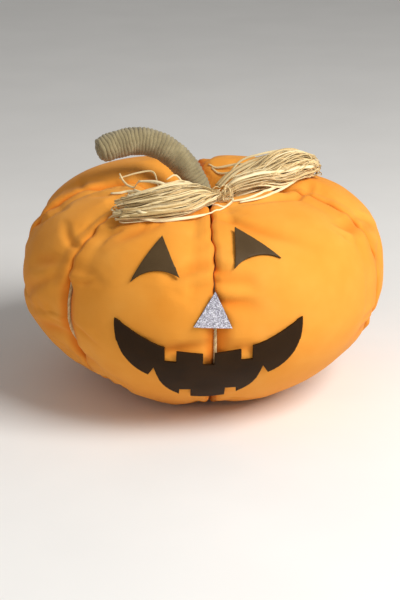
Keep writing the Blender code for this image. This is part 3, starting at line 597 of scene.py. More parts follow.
TWINE_RADIUS, GAP = 0.0017, 0.0004
PLIES, PLY_RADIUS, PLY_OUT = 3, 0.00092, 0.00080  # the plies, and how far their middles lie from the twine's
TWIST_PITCH = 0.0085
PLY_SIDES = 6
TWINE_STEPS = 420  # points down one side of the bag
TWINE_STOP = 0.030  # the turns run on to the axis from this far short of the poles, as a share of the rings
STACK_REACH = 0.016  # inside this the turns climb over each other
STACK_STEP = 2 * TWINE_RADIUS + GAP
PILE_BED = 0.0015
NUDGE, NUDGES, NUDGE_REACH = 0.0002, 25, 0.06  # near the poles it is lifted where it would touch the cloth

bag_tree = BVHTree.FromObject(cotton_bag, bpy.context.evaluated_depsgraph_get())


def unit(vectors):
    return vectors / np.maximum(np.linalg.norm(vectors, axis=-1, keepdims=True), 1e-9)


def along_route(points, closed=False):
    """Directions along a row of points."""
    if closed:
        return unit(np.roll(points, -1, 0) - np.roll(points, 1, 0))
    return unit(np.gradient(points, axis=0))


def sweep(points, outward, section, closed=False):
    """(places, faces) of a skin through a row of points. The section, in metres, is (outward, sideways) of
    each of its corners, for the whole row or for each point."""
    along = along_route(points, closed)
    outward = unit(outward - along * (outward * along).sum(-1, keepdims=True))
    side = np.cross(along, outward)
    section = np.broadcast_to(section, (len(points), *np.shape(section)[-2:]))
    places = points[:, None] + outward[:, None] * section[..., :1] + side[:, None] * section[..., 1:]
    count, sides = section.shape[:2]
    at = np.arange(count * sides).reshape(count, sides)
    following = np.roll(at, -1, 1)
    rows = count if closed else count - 1
    ahead, ahead_following = np.roll(at, -1, 0), np.roll(following, -1, 0)
    quads = np.stack([corner[:rows] for corner in (at, following, ahead_following, ahead)], -1)
    faces = quads.reshape(-1, 4).tolist()
    if not closed:
        faces += [at[0, ::-1].tolist(), at[-1].tolist()]
    return places.reshape(-1, 3), faces


def skins_mesh(name, skins, **values):
    """One mesh of many skins. Values give each skin a number for the material to read, kept on its points."""
    places, faces, first = [], [], 0
    for skin_places, skin_faces in skins:
        places.append(skin_places)
        faces += [[first + corner for corner in face] for face in skin_faces]
        first += len(skin_places)
    mesh = bpy.data.meshes.new(name)
    mesh.from_pydata(np.concatenate(places).tolist(), [], faces)
    for key, numbers in values.items():
        attribute = mesh.attributes.new(key, "FLOAT", "POINT")
        given = [np.full(len(skin[0]), number, float) for number, skin in zip(numbers, skins)]
        attribute.data.foreach_set("value", np.concatenate(given))
    mesh.shade_smooth()
    return mesh


def round_section(radius, sides):
    turn = np.arange(sides) * 2 * math.pi / sides
    return np.stack([np.cos(turn), np.sin(turn)], -1) * radius


def crossing(turn, top):
    """The height at which a turn crosses the others on the axis."""
    pit = bag_points(np.zeros(1), np.array([90.0 if top else -90.0]), np.ones(1))[0, 2]
    away = TWINE_RADIUS + PILE_BED + turn * STACK_STEP
    return pit + away if top else pit - away


def groove_line(azimuth, turn):
    """The twine's middles from the crown to the base down one groove, and the direction out of the groove."""
    share = TWINE_STOP + (1 - 2 * TWINE_STOP) * np.arange(TWINE_STEPS) / (TWINE_STEPS - 1)
    latitude = ring_latitude(share)
    bed = bag_points(np.full(TWINE_STEPS, azimuth), latitude, np.ones(TWINE_STEPS), closed=False)
    turn_side = np.array([math.cos(math.radians(azimuth)), math.sin(math.radians(azimuth)), 0.0])
    out = unit(np.cross(along_route(bed), turn_side))
    reach = np.hypot(bed[:, 0], bed[:, 1])
    upright = np.stack([np.zeros(TWINE_STEPS), np.zeros(TWINE_STEPS), np.sign(latitude)], -1)
    out = unit(out + (upright - out) * (1 - eased(0.024, 0.044, reach))[:, None])
    line = bed + out * (TWINE_RADIUS + GAP)
    share = 1 - eased(0.004, STACK_REACH, reach)
    for top in (True, False):
        here = (latitude > 0) == top
        line[here, 2] += ((crossing(turn, top) - line[:, 2]) * share)[here]
    for _ in range(NUDGES):
        for at in np.flatnonzero((reach < NUDGE_REACH) & (reach > STACK_REACH)):
            if bag_tree.find_nearest(line[at])[3] < TWINE_RADIUS + GAP / 2:
                line[at] += out[at] * NUDGE
    line[1:-1] = (line[:-2] + line[1:-1] + line[2:]) / 3
    return line, out


def twine_loop(name, solid, turn, near_azimuth, far_azimuth):
    near, near_out = groove_line(near_azimuth, turn)
    far, far_out = groove_line(far_azimuth, turn)
    top, under = np.array([[0, 0, crossing(turn, True)]]), np.array([[0, 0, crossing(turn, False)]])
    line = np.concatenate([top, near, under, far[::-1]])
    out = np.concatenate([[[0, 0, 1.0]], near_out, [[0, 0, -1.0]], far_out[::-1]])
    length = np.linalg.norm(line - np.roll(line, 1, 0), axis=-1)
    twists = round(length.sum() / TWIST_PITCH)
    run = (np.cumsum(length) - length[0]) / length.sum()
    side = np.cross(along_route(line, True), out)
    skins = []
    for ply in range(PLIES):
        turned = (run * twists + ply / PLIES) * 2 * math.pi
        middle = line + (out * np.cos(turned)[:, None] + side * np.sin(turned)[:, None]) * PLY_OUT
        skins.append(sweep(middle, out, round_section(PLY_RADIUS, PLY_SIDES), closed=True))
    made = show(name, skins_mesh(name, skins, strand=[0.2, 0.5, 0.8]), jute_twine)
    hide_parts(solid)
    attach(made, "root")


def twine_material(name, darkest, middling, lightest, hair):
    """Twisted jute: dull, straw to grey-brown, with fine fibres and a bloom of hairs that stand off it."""
    made, tree, shader = new_material(
        name, 0.9, Sheen_Weight=0.25, Sheen_Roughness=0.6, Specular_IOR_Level=0.2
    )
    place = node(tree, "TexCoord").outputs["Object"]
    strand = node(tree, "Attribute", attribute_name="strand").outputs["Fac"]
    fibres = node(tree, "TexNoise", {"Vector": place, "Scale": 1.0 / hair, "Detail": 4.0, "Roughness": 0.7})
    patches = node(tree, "TexNoise", {"Vector": place, "Scale": 90.0, "Detail": 2.0})
    mixed = node(tree, "Math", {0: fibres.outputs["Fac"], 1: patches.outputs["Fac"]}, operation="ADD")
    spread = node(tree, "MapRange", {"Value": mixed.outputs[0], "From Min": 0.65, "From Max": 1.35})
    tint = node(tree, "Mix", {0: 0.4, 2: spread.outputs["Result"], 3: strand}, data_type="FLOAT")
    shown = colour_steps(tree, tint.outputs[0], (0.1, darkest), (0.5, middling), (0.85, lightest))
    tree.links.new(shown, shader.inputs["Base Color"])
    bump = node(tree, "Bump", {"Height": fibres.outputs["Fac"], "Strength": 0.6, "Distance": 0.0004})
    tree.links.new(bump.outputs["Normal"], shader.inputs["Normal"])
    return made


FIBRE = 0.0009  # metres from one bundle of fibres to the next
jute_twine = twine_material("natural jute twine", "#9A7C4C", "#CBAC78", "#E6CF9F", FIBRE)
twine_loop("front_twine", "twine_loop_front", 0, SEAMS[2], SEAMS[5])
twine_loop("right_twine", "twine_loop_right", 1, SEAMS[3], SEAMS[0])
twine_loop("left_twine", "twine_loop_left", 2, SEAMS[1], SEAMS[4])


# Stem
# A padded core, bent over to the left and wound close with grey-brown jute cord from its foot to its end,
# where the cord is coiled in to a flat spiral and glued.

STEM_RADIUS = 0.0138
STEM_FOOT = crossing(2, True) + TWINE_RADIUS + GAP
STEM_ROUTE = (
    (0.0, 0.0, STEM_FOOT),
    (-0.0004, 0.0001, STEM_FOOT + 0.006),
    (-0.0065, 0.002, 0.2013),
    (-0.0180, 0.006, 0.2195),
    (-0.0385, 0.009, 0.2370),
    (-0.0615, 0.009, 0.2440),
    (-0.0820, 0.005, 0.2422),
    (-0.0995, -0.001, 0.2375),
)
STEM_TAPER = ((0, 0.90), (0.12, 0.90), (0.45, 1.0), (0.75, 1.03), (0.95, 1.0), (1.0, 0.90))
CORD_PITCH = 0.0035  # from one turn to the next
CORD_RADIUS = 0.0029
CORD_STEPS = 40  # points in a turn
CORD_SIDES = 10
CORD_TWIST = 2.6  # how often the cord's two plies twist in one turn
CORD_FLUTE = 0.10  # how deep the line between its plies is
CORE_SIDES = 24
SPIRAL_RISE = 0.0022  # how far the middle of the spiral stands out of the stem's end


def smooth_route(points, spacing):
    """Evenly spaced points on a smooth curve through a route's own points."""
    knots = np.array(points, float)
    knots = np.concatenate([[2 * knots[0] - knots[1]], knots, [2 * knots[-1] - knots[-2]]])
    t = (np.arange(24) / 24)[:, None]
    fine = [
        0.5 * (2 * b + (c - a) * t + (2 * a - 5 * b + 4 * c - d) * t**2 + (3 * b - a - 3 * c + d) * t**3)
        for a, b, c, d in zip(knots, knots[1:], knots[2:], knots[3:])
    ]
    fine = np.concatenate([*fine, knots[-2:-1]])
    run = np.concatenate([[0], np.cumsum(np.linalg.norm(np.diff(fine, axis=0), axis=-1))])
    wanted = np.linspace(0, run[-1], round(run[-1] / spacing) + 1)
    return np.stack([np.interp(wanted, run, fine[:, axis]) for axis in range(3)], -1), run[-1]


def read_row(values, at):
    """Values of a row of vectors at places between its numbers."""
    low = np.clip(np.floor(at).astype(int), 0, len(values) - 2)
    share = (at - low)[:, None]
    return values[low] * (1 - share) + values[low + 1] * share


core, core_length = smooth_route(STEM_ROUTE, 0.001)
core_along = along_route(core)
core_side = unit(np.cross(core_along, np.array([0.0, 1.0, 0.0])))
core_front = np.cross(core_along, core_side)
wound = int(core_length / CORD_PITCH * CORD_STEPS)
end_radius = STEM_RADIUS * STEM_TAPER[-1][1] - CORD_RADIUS
spiral = int(end_radius / CORD_PITCH * CORD_STEPS * 0.97)
turned = np.arange(wound + spiral) / CORD_STEPS * 2 * math.pi
shrink = np.clip((np.arange(wound + spiral) - wound) / (end_radius / CORD_PITCH * CORD_STEPS), 0, 1)
run = np.minimum(np.arange(wound + spiral) * CORD_PITCH / CORD_STEPS, core_length) / core_length
coil_radius = (STEM_RADIUS * table_value(STEM_TAPER, run) - CORD_RADIUS) * (1 - shrink)
at_core = run * (len(core) - 1)
sideways = read_row(core_side, at_core) * np.cos(turned)[:, None]
forward = read_row(core_front, at_core) * np.sin(turned)[:, None]
radial = sideways + forward
advance = read_row(core_along, at_core) * (SPIRAL_RISE * np.sin(shrink * math.pi / 2))[:, None]
cord_middle = read_row(core, at_core) + radial * coil_radius[:, None] + advance
ply_turn = turned * CORD_TWIST
around = np.arange(CORD_SIDES) * 2 * math.pi / CORD_SIDES
fluted = CORD_RADIUS * (1 - CORD_FLUTE + CORD_FLUTE * np.cos(2 * (around[None] - ply_turn[:, None])))
cord_section = np.stack([np.cos(around)[None] * fluted, np.sin(around)[None] * fluted], -1)
core_radius = STEM_RADIUS * table_value(STEM_TAPER, np.linspace(0, 1, len(core))) - 1.5 * CORD_RADIUS
stem_skins = [
    sweep(cord_middle, radial, cord_section),
    sweep(core, core_side, round_section(1.0, CORE_SIDES)[None] * core_radius[:, None, None]),
]
wound_twine = twine_material("grey-brown jute cord", "#72664A", "#8D7F5C", "#AA9D78", FIBRE)
stem = show("wound_stem", skins_mesh("wound_stem", stem_skins, strand=[0.5, 0.0]), wound_twine)
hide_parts("stem")
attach(stem, "root")


# Raffia
# Dried palm leaf split to ribbons of one to four millimetres, natural straw colour. A hank of it is folded,
# tied round the foot of the stem and knotted in front, and spreads over the crown to both sides in loops and
# loose ends.

RAFFIA_SEED = 7
RAFFIA_THICKNESS = 0.00022
RAFFIA_CLEAR = 0.0006  # the lowest ribbons lie this far over the cloth
RAFFIA_STEPS = 30
RIBBON_WIDTHS = (0.0014, 0.0036)
LANE_COUNT = 9
SAG_ALONG, SAG_ACROSS = 0.0002, 0.0006  # how far the raffia sags into a groove, from one point to the next

dried_raffia, tree, shader = new_material("dried raffia", 0.55, Specular_IOR_Level=0.45, Sheen_Weight=0.1)
# split palm leaf: straw, each ribbon its own tone, with fine lengthwise veins and a faint gloss
tone = node(tree, "Attribute", attribute_name="strand").outputs["Fac"]
place = node(tree, "TexCoord").outputs["Object"]
veins = node(tree, "TexNoise", {"Vector": place, "Scale": 420.0, "Detail": 3.0, "Roughness": 0.6})
patches = node(tree, "TexNoise", {"Vector": place, "Scale": 60.0, "Detail": 2.0})
mixed = node(tree, "Mix", {0: 0.35, 2: tone, 3: patches.outputs["Fac"]}, data_type="FLOAT")
veined = node(tree, "Mix", {0: 0.25, 2: mixed.outputs[0], 3: veins.outputs["Fac"]}, data_type="FLOAT")
straw = colour_steps(
    tree, veined.outputs[0], (0.12, "#A98950"), (0.35, "#D6B880"), (0.6, "#EFD8A4"), (0.9, "#FBECC5")
)
tree.links.new(straw, shader.inputs["Base Color"])
bump = node(tree, "Bump", {"Height": veins.outputs["Fac"], "Strength": 0.5, "Distance": 0.0002})
tree.links.new(bump.outputs["Normal"], shader.inputs["Normal"])


def height_over_bag(x, y):
    """Height of the cloth at a place, seen from above."""
    hit = bag_tree.ray_cast(Vector((x, y, 0.5)), Vector((0, 0, -1)))[0]
    return hit.z if hit else 0.0


def ribbon(points, width, roll):
    """A skin for one ribbon: thin, folded along its middle, narrowing at its ends and rolling as it runs."""
    count = len(points)
    share = np.linspace(0, 1, count)
    wide = width * (0.35 + 0.65 * np.sin(np.clip(share * 1.15 + 0.08, 0, 1) * math.pi) ** 0.5)
    along = along_route(points)
    side = unit(np.cross(along, [0, 0, 1.0]))
    up = np.cross(side, along)
    out = up * np.cos(roll)[:, None] + side * np.sin(roll)[:, None]
    half, thick = wide[:, None] / 2, RAFFIA_THICKNESS / 2
    across = np.array([-1.0, 0.0, 1.0, 1.0, 0.0, -1.0])[None] * half
    fold = np.array([0.0, 0.22, 0.0, 0.0, 0.22, 0.0])[None] * half
    level = fold + np.array([thick, thick, thick, -thick, -thick, -thick])[None]
    return sweep(points, out, np.stack([level, -across], -1))


def lane_heights(route, spread):
    """Heights of the cloth under the bundle's lanes, taut over the grooves, with its side and half width."""
    side = unit(np.cross(along_route(route), [0, 0, 1.0]))
    shares = np.linspace(0, 1, len(route))
    wide = table_value(spread, shares)
    heights = np.empty((LANE_COUNT, len(route)))
    for lane in range(LANE_COUNT):
        offset = 2 * lane / (LANE_COUNT - 1) - 1
        for at, place in enumerate(route + side * (offset * wide)[:, None]):
            heights[lane, at] = height_over_bag(place[0], place[1])
    for _ in range(len(route) * 3):
        heights[:, 1:-1] = np.maximum(heights[:, 1:-1], (heights[:, :-2] + heights[:, 2:]) / 2 - SAG_ALONG)
    heights[1:-1] = np.maximum(heights[1:-1], (heights[:-2] + heights[2:]) / 2 - SAG_ACROSS)
    return heights, side, wide


def hank(name, solid, route, spread, fluff, count, folded, draw, extra=()):
    """A bundle of ribbons. Folded is the share of them that turn back at the far end."""
    route, _ = smooth_route(route, 0.0036)
    heights, side, wide = lane_heights(route, spread)
    steps = len(route) - 1
    skins, tones = [], []
    for _ in range(count):
        lane, layer = draw.uniform(-1, 1), draw.random() ** 0.8
        turns_back = draw.random() < folded
        reach = draw.uniform(0.86, 1.0) if turns_back else draw.uniform(0.72, 1.04)
        share = np.linspace(0, reach, RAFFIA_STEPS)
        sway = [draw.uniform(0.04, 0.17), draw.uniform(4, 9), draw.uniform(0, 6.28), draw.uniform(-0.3, 0.3)]
        level = [draw.uniform(0.0003, 0.0018), draw.uniform(5, 11), draw.uniform(0, 6.28)]
        lanes = lane + sway[0] * np.sin(share * sway[1] + sway[2]) * eased(0, 0.3, share) + sway[3] * share**2
        within = np.minimum(share, 1)
        at = within * steps
        base = read_row(route, at) + (share - within)[:, None] * (route[-1] - route[-2]) * steps
        crosswise = read_row(side, at)
        half = np.interp(share, np.linspace(0, 1, steps + 1), wide)
        lanes = np.clip(lanes, -1.15, 1.15)
        across = (np.clip(lanes, -1, 1) + 1) / 2 * (LANE_COUNT - 1)
        low = np.clip(across.astype(int), 0, LANE_COUNT - 2)
        part = across - low
        column = np.clip(np.round(at).astype(int), 0, steps)
        floor_height = heights[low, column] * (1 - part) + heights[low + 1, column] * part
        floor_height = np.convolve(np.pad(floor_height, 2, mode="edge"), np.ones(5) / 5, "valid")
        thick = 2 * table_value(fluff, within) * (1 - 0.45 * np.minimum(np.abs(lanes), 1) ** 2)
        rise = RAFFIA_CLEAR + thick * layer + level[0] * (1 + np.sin(share * level[1] + level[2]))
        path = base + crosswise * (lanes * half)[:, None]
        path[:, 2] = floor_height + rise
        if turns_back:
            back_lane = np.clip(lanes + draw.uniform(-0.5, 0.5) * (1 - (share / reach) ** 2), -1.1, 1.1)
            returning = base + crosswise * (back_lane * half)[:, None]
            back_layer = min(1.0, layer + draw.uniform(0.15, 0.5))
            returning[:, 2] = floor_height + RAFFIA_CLEAR + thick * back_layer + 0.001
            ahead = unit(path[-1] - path[-3])
            curl = draw.uniform(0.003, 0.008)
            bend = (path[-1] + returning[-1]) / 2 + ahead * curl
            stop = int(RAFFIA_STEPS * draw.uniform(0.0, 0.55))
            back_way = returning[::-1][::4]
            rough = np.concatenate([path[::4], path[-1:], [bend], back_way, returning[stop : stop + 1]])
            if stop > 2:
                rough = rough[: len(path[::4]) + 2 + (RAFFIA_STEPS - stop) // 4 + 1]
            path, _ = smooth_route(rough, 0.003)
        for at_point in range(2, len(path)):
            floor_here = height_over_bag(path[at_point, 0], path[at_point, 1]) + RAFFIA_CLEAR
            path[at_point, 2] = max(path[at_point, 2], floor_here)
        rolled = draw.uniform(-0.9, 0.9) + draw.uniform(-1.6, 1.6) * np.linspace(0, 1, len(path)) ** 2
        skins.append(ribbon(path, draw.uniform(*RIBBON_WIDTHS), rolled))
        tones.append(draw.random())
    for points, width, tone in extra:
        path, _ = smooth_route(np.array(points) / 1000, 0.003)
        for one in path:
            one[2] = max(one[2], height_over_bag(one[0], one[1]) + RAFFIA_CLEAR)
        skins.append(ribbon(path, width / 1000 / SEEN_SHARE, np.linspace(*STRAND_ROLL, len(path))))
        tones.append(tone)
    made = show(name, skins_mesh(name, skins, strand=tones), dried_raffia)
    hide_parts(solid)
    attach(made, "root")


draw = random.Random(RAFFIA_SEED)
KNOT_SPREAD = 0.0078
STRAND_ROLL = (0.7, 1.1)  # the single strands turn their faces to the front, in radians at their two ends
SEEN_SHARE = 0.9  # rolled like that, a strand shows this much of its own width

# Single wide strands that lie over the others, sweep round the fans' edges or stand off them
LEFT_STRANDS = (
    # points and the width that shows, in millimetres, and the tone
    (((-71, -44, 206.6), (-73.4, -56, 202.5), (-73.5, -74, 199), (-67, -94, 200.5), (-54.8, -112.5, 202.5),
      (-40, -114, 201), (-23.5, -114.5, 202.5), (-6, -107.5, 203), (6.7, -98.5, 203.5), (19, -89, 205.5),
      (26.2, -80, 209)), 3.4, 0.98),
    (((-81.5, -12, 217), (-77, -20, 211.1), (-67.6, -34, 208.2), (-61, -40, 216.8), (-44, -56, 219)), 2.0, 0.6),
    (((-81.6, -15, 213.2), (-63.5, -15, 218.5), (-48.7, -20, 220.6), (-42.7, -45, 213),
      (-36, -60, 214.1)), 1.8, 0.45),
    (((-35.5, -30, 215.9), (-27, -25, 219), (-18.9, -30, 211), (-14.5, -40, 208.4)), 1.8, 0.6),
    (((-88.9, -38.7, 204.7), (-79.5, -42.2, 206.3), (-70.3, -44, 208.5), (-50.2, -68.7, 214.5)), 2.4, 0.85),
    (((-80.1, -72.1, 195), (-73.8, -79, 198.5), (-66.9, -93.4, 202.9), (-56.5, -106.5, 209.2)), 2.2, 0.8),
    (((-62.1, -45, 218.6), (-42.5, -58, 221.2), (-19.4, -67, 214), (-1.1, -56, 207.8),
      (8.9, -60, 204.5)), 2.6, 0.95),
    (((-69.3, -78, 204.5), (-58, -111.8, 208.5), (-43.2, -106, 205), (-25.7, -98.5, 208.5),
      (-5.8, -90, 204.5), (10, -72, 208)), 2.2, 0.9),
    (((-66, -58, 214), (-50, -84, 216), (-30, -86, 215), (-10, -72, 209), (8, -52, 204)), 2.8, 0.75),
    (((3.9, -76.9, 196), (16.6, -85, 203.5), (23.1, -81.8, 206.5), (27.7, -74.2, 209.2), (24.9, -65, 208.5),
      (17.7, -64.2, 206), (8.9, -69.1, 202)), 1.8, 0.95),
    (((4, -55, 203), (9.9, -58.5, 200.5), (19, -68.7, 207), (27.3, -73.1, 209.3), (25.4, -82.2, 207),
      (16.3, -86.6, 203)), 1.8, 0.85),
)
RIGHT_STRANDS = (
    (((5.1, 66, 205.1), (13.4, 56, 204.2), (33.6, 48, 210), (47.6, 30, 214), (60, 16, 218)), 2.4, 0.4),
    (((8.3, 58, 203.5), (16.4, 48, 200.5), (33.4, 38, 205), (52, 20, 212)), 2.2, 0.3),
    (((26.2, -77.8, 208.5), (42.4, -73.1, 210.5), (67.5, -36, 209.5), (88.6, -6, 211), (100.3, 15, 219),
      (100, 18, 227.5), (90, 17, 230.5)), 2.4, 0.95),
    (((33.7, -81, 208.5), (55.7, -68.7, 210), (81.5, -30, 210.5), (96.5, 5, 214), (102, 16, 222),
      (96.5, 18, 229)), 2.2, 0.9),
    (((24.3, 16, 207.7), (36.8, 18, 221.7), (55, 15, 229), (77, 15, 233), (95.5, 15, 231.5), (106, 12, 226),
      (104, 10, 215.5)), 2.2, 0.7),
    (((22, -30, 205), (46, -32, 214), (66, -20, 217), (86, -4, 220), (98, 10, 226), (88, 12, 231),
      (64, 2, 228)), 2.8, 1.0),
    (((14, 8, 198), (26, 14, 210), (44, 16, 221), (66, 16, 228), (90, 18, 228)), 2.6, 0.4),
    (((12, 16, 197), (24, 22, 207), (40, 26, 214), (62, 24, 222), (84, 24, 226)), 2.6, 0.2),
    (((16, 2, 199), (32, 6, 213), (54, 8, 224), (78, 12, 230), (98, 18, 226)), 2.8, 0.6),
    (((20, -6, 201), (36, -2, 213), (58, 2, 222), (80, 8, 229), (92, 14, 228)), 2.6, 0.8),
    (((14, 12, 196), (30, 20, 208), (50, 22, 216), (74, 22, 224), (90, 22, 226)), 2.8, 0.3),
    (((20, -12, 201), (38, -12, 211), (60, -4, 220), (84, 6, 227), (96, 16, 225)), 2.8, 0.9),
)
hank(
    "left_hank",
    "raffia_left",
    route=(
        (0.016, -0.036, 0), (0.008, -0.054, 0), (-0.010, -0.074, 0),
        (-0.034, -0.086, 0), (-0.058, -0.085, 0), (-0.078, -0.077, 0),
    ),
    spread=((0, 0.006), (0.12, KNOT_SPREAD), (0.35, 0.018), (0.6, 0.027), (0.8, 0.026), (1, 0.022)),
    fluff=((0, 0.004), (0.4, 0.0075), (0.8, 0.0065), (1, 0.005)),
    count=110,
    folded=0.45,
    draw=draw,
    extra=LEFT_STRANDS,
)
hank(
    "right_hank",
    "raffia_right",
    route=(
        (0.010, -0.026, 0), (0.028, -0.023, 0), (0.048, -0.014, 0),
        (0.070, -0.003, 0), (0.090, 0.011, 0), (0.107, 0.026, 0),
    ),
    spread=((0, 0.014), (0.12, 0.026), (0.35, 0.029), (0.6, 0.024), (0.8, 0.018), (1, 0.012)),
    fluff=((0, 0.006), (0.15, 0.0120), (0.8, 0.0120), (1, 0.010)),
    count=120,
    folded=0.75,
    draw=draw,
    extra=RIGHT_STRANDS,
)

TIE_HEIGHT = 0.1845
TIE_ROUTE = (
    (-0.0158, -0.0030),
    (-0.0142, 0.0070),
    (-0.0050, 0.0150),
    (0.0062, 0.0140),
    (0.0140, 0.0060),
    (0.0160, -0.0080),
    (0.0195, -0.0260),
    (0.0185, -0.0320),
    (0.0150, -0.0280),
    (0.0060, -0.0195),
    (-0.0085, -0.0140),
)
TIE_RIBBONS = 14
KNOT_MIDDLE = (0.0165, -0.0345)
KNOT_LOOPS = 18
tie_skins, tie_tones = [], []
for _ in range(TIE_RIBBONS):
    shift, lift = draw.uniform(-0.0012, 0.0022), draw.uniform(0, 0.010)
    points = []
    for x, y in (*TIE_ROUTE, TIE_ROUTE[0]):
        grow = 1 + shift / math.hypot(x, y)
        x, y = x * grow, y * grow
        points.append((x, y, max(TIE_HEIGHT, height_over_bag(x, y) + 0.0012) + lift))
    path, _ = smooth_route(points, 0.0025)
    width = draw.uniform(0.0012, 0.0022)
    tie_skins.append(ribbon(path, width, np.full(len(path), 1.57 + draw.uniform(-0.5, 0.5))))
    tie_tones.append(draw.random() * 0.8)
for _ in range(KNOT_LOOPS):
    slant, size, start = draw.uniform(-0.9, 0.9), draw.uniform(0.0060, 0.0120), draw.uniform(0, 6.28)
    aside, before = draw.uniform(-0.008, 0.008), draw.uniform(-0.040, 0.003)
    middle = Vector((KNOT_MIDDLE[0] + aside, KNOT_MIDDLE[1] + before, 0))
    points = []
    for step in range(10):
        turn = start + step * 0.66
        wide, deep = size * 0.55 * math.cos(turn), size * 0.3 * math.sin(turn)
        x = middle.x + wide * math.cos(slant) - deep * math.sin(slant)
        y = middle.y + size * 0.75 * math.cos(turn) * math.sin(slant)
        points.append((x, y, height_over_bag(*middle.xy) + 0.006 + size * 0.9 * math.sin(turn)))
    path, _ = smooth_route(points, 0.002)
    for at_point in range(len(path)):
        path[at_point, 2] = max(path[at_point, 2], height_over_bag(*path[at_point, :2]) + RAFFIA_CLEAR)
    width = draw.uniform(0.0010, 0.0018)
    tie_skins.append(ribbon(path, width, np.linspace(0, draw.uniform(-2, 2), len(path))))
    tie_tones.append(draw.random() * 0.8)
raffia_knot = show("raffia_knot", skins_mesh("raffia_knot", tie_skins, strand=tie_tones), dried_raffia)
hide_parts("raffia_tie")
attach(raffia_knot, "root")


# Face
# A traditional cut-out face of two-millimetre craft foam, glued on: two eyes and a wide mouth with square teeth
# in dark brown, the eyes painted lighter for the light on their upward faces, and a three-cornered nose
# covered with silver glitter. The sheet bends over the lobes and bridges the grooves.

FOAM = 0.002
FOAM_LIFT = 0.0004  # the foam lies this far off the cloth it touches
SHEET_STEP = 0.003  # the sheet bends in steps of this size
EYE_BASE, EYE_INNER, EYE_OUTER, EYE_HOLLOW = 0.045, 0.045, 0.051, 0.0075
NOSE_WIDTH, NOSE_HEIGHT = 0.035, 0.033
MOUTH_RISE = 0.022  # the tips of the smile over the middle of its upper edge
JAW_RADIUS, JAW_DROP = 0.048, 0.0155  # the lower edge is three arcs, one for the jaw and one for each cheek
CHEEK_OUT, CHEEK_RISE = 0.037, 0.016
MOUTH_HALF = CHEEK_OUT + JAW_RADIUS
TOOTH_GAP = 0.0105
TOP_CUTS = (0.0, 0.0345)
TOP_CUT_DEPTH = 0.0125
LOW_CUT, LOW_CUT_TOP = 0.021, -0.047
NICK, NICK_HALF, NICK_TOP = 0.0495, 0.005, -0.018
EDGE_ROUND = 0.00035


def arc(middle, radius, start, end, steps):
    angles = [math.radians(start + (end - start) * step / steps) for step in range(steps + 1)]
    return [(middle[0] + radius * math.cos(a), middle[1] + radius * math.sin(a)) for a in angles]


def eye_outline():
    """From the inner corner along the hollow lower side, with the outer corner towards +X."""
    across = (EYE_BASE**2 + EYE_INNER**2 - EYE_OUTER**2) / (2 * EYE_BASE)
    top = math.sqrt(EYE_INNER**2 - across**2)
    radius = (EYE_BASE**2 / 4 + EYE_HOLLOW**2) / (2 * EYE_HOLLOW)
    spread = math.degrees(math.asin(EYE_BASE / 2 / radius))
    hollow = arc((EYE_BASE / 2, EYE_HOLLOW - radius), radius, 90 + spread, 90 - spread, 14)
    middle = ((EYE_BASE + across) / 3, top / 3)
    return [(x - middle[0], y - middle[1]) for x, y in [*hollow, (across, top)]]


def smile(x):
    return MOUTH_RISE * (x / MOUTH_HALF) ** 2


def jaw(x):
    return -JAW_DROP - math.sqrt(JAW_RADIUS**2 - x**2)


def mouth_outline():
    """The right half, from the middle of the upper edge to that of the lower edge, and its mirror image."""
    right = []
    for at in TOP_CUTS:
        for x in (at - TOOTH_GAP / 2, at + TOOTH_GAP / 2):
            corner, bottom = (x, smile(x)), (x, smile(at) - TOP_CUT_DEPTH)
            if x > 0:
                right += [corner, bottom] if x < at else [bottom, corner]
    right += [(x, smile(x)) for x in (0.046, 0.054, 0.062, 0.070, 0.078, MOUTH_HALF)]
    foot = -math.degrees(math.acos((NICK + NICK_HALF - CHEEK_OUT) / JAW_RADIUS))
    right += arc((CHEEK_OUT, CHEEK_RISE), JAW_RADIUS, 0, foot, 16)
    right += [(NICK, NICK_TOP)]
    jaw_stops = (0.0455, 0.0445, 0.043, 0.041, 0.0385, 0.036, 0.033, 0.030, LOW_CUT + TOOTH_GAP / 2)
    right += [(x, jaw(x)) for x in jaw_stops]
    right += [(LOW_CUT + TOOTH_GAP / 2, LOW_CUT_TOP), (LOW_CUT - TOOTH_GAP / 2, LOW_CUT_TOP)]
    right += [(x, jaw(x)) for x in (LOW_CUT - TOOTH_GAP / 2, 0.012, 0.006)]
    return right + [(0.0, jaw(0.0))] + [(-x, y) for x, y in reversed(right)]


def build_form():
    """The bag with its grooves and folds bridged, which the sheet bends to."""
    bm = bmesh.new()
    bm.from_mesh(bag_mesh)
    hull = bmesh.ops.convex_hull(bm, input=bm.verts)["geom"]
    skin = {piece for piece in hull if isinstance(piece, bmesh.types.BMFace)}
    bmesh.ops.delete(bm, geom=[face for face in bm.faces if face not in skin], context="FACES")
    mesh = bpy.data.meshes.new("face_form")
    bm.to_mesh(mesh)
    bm.free()
    return show("face_form", mesh)


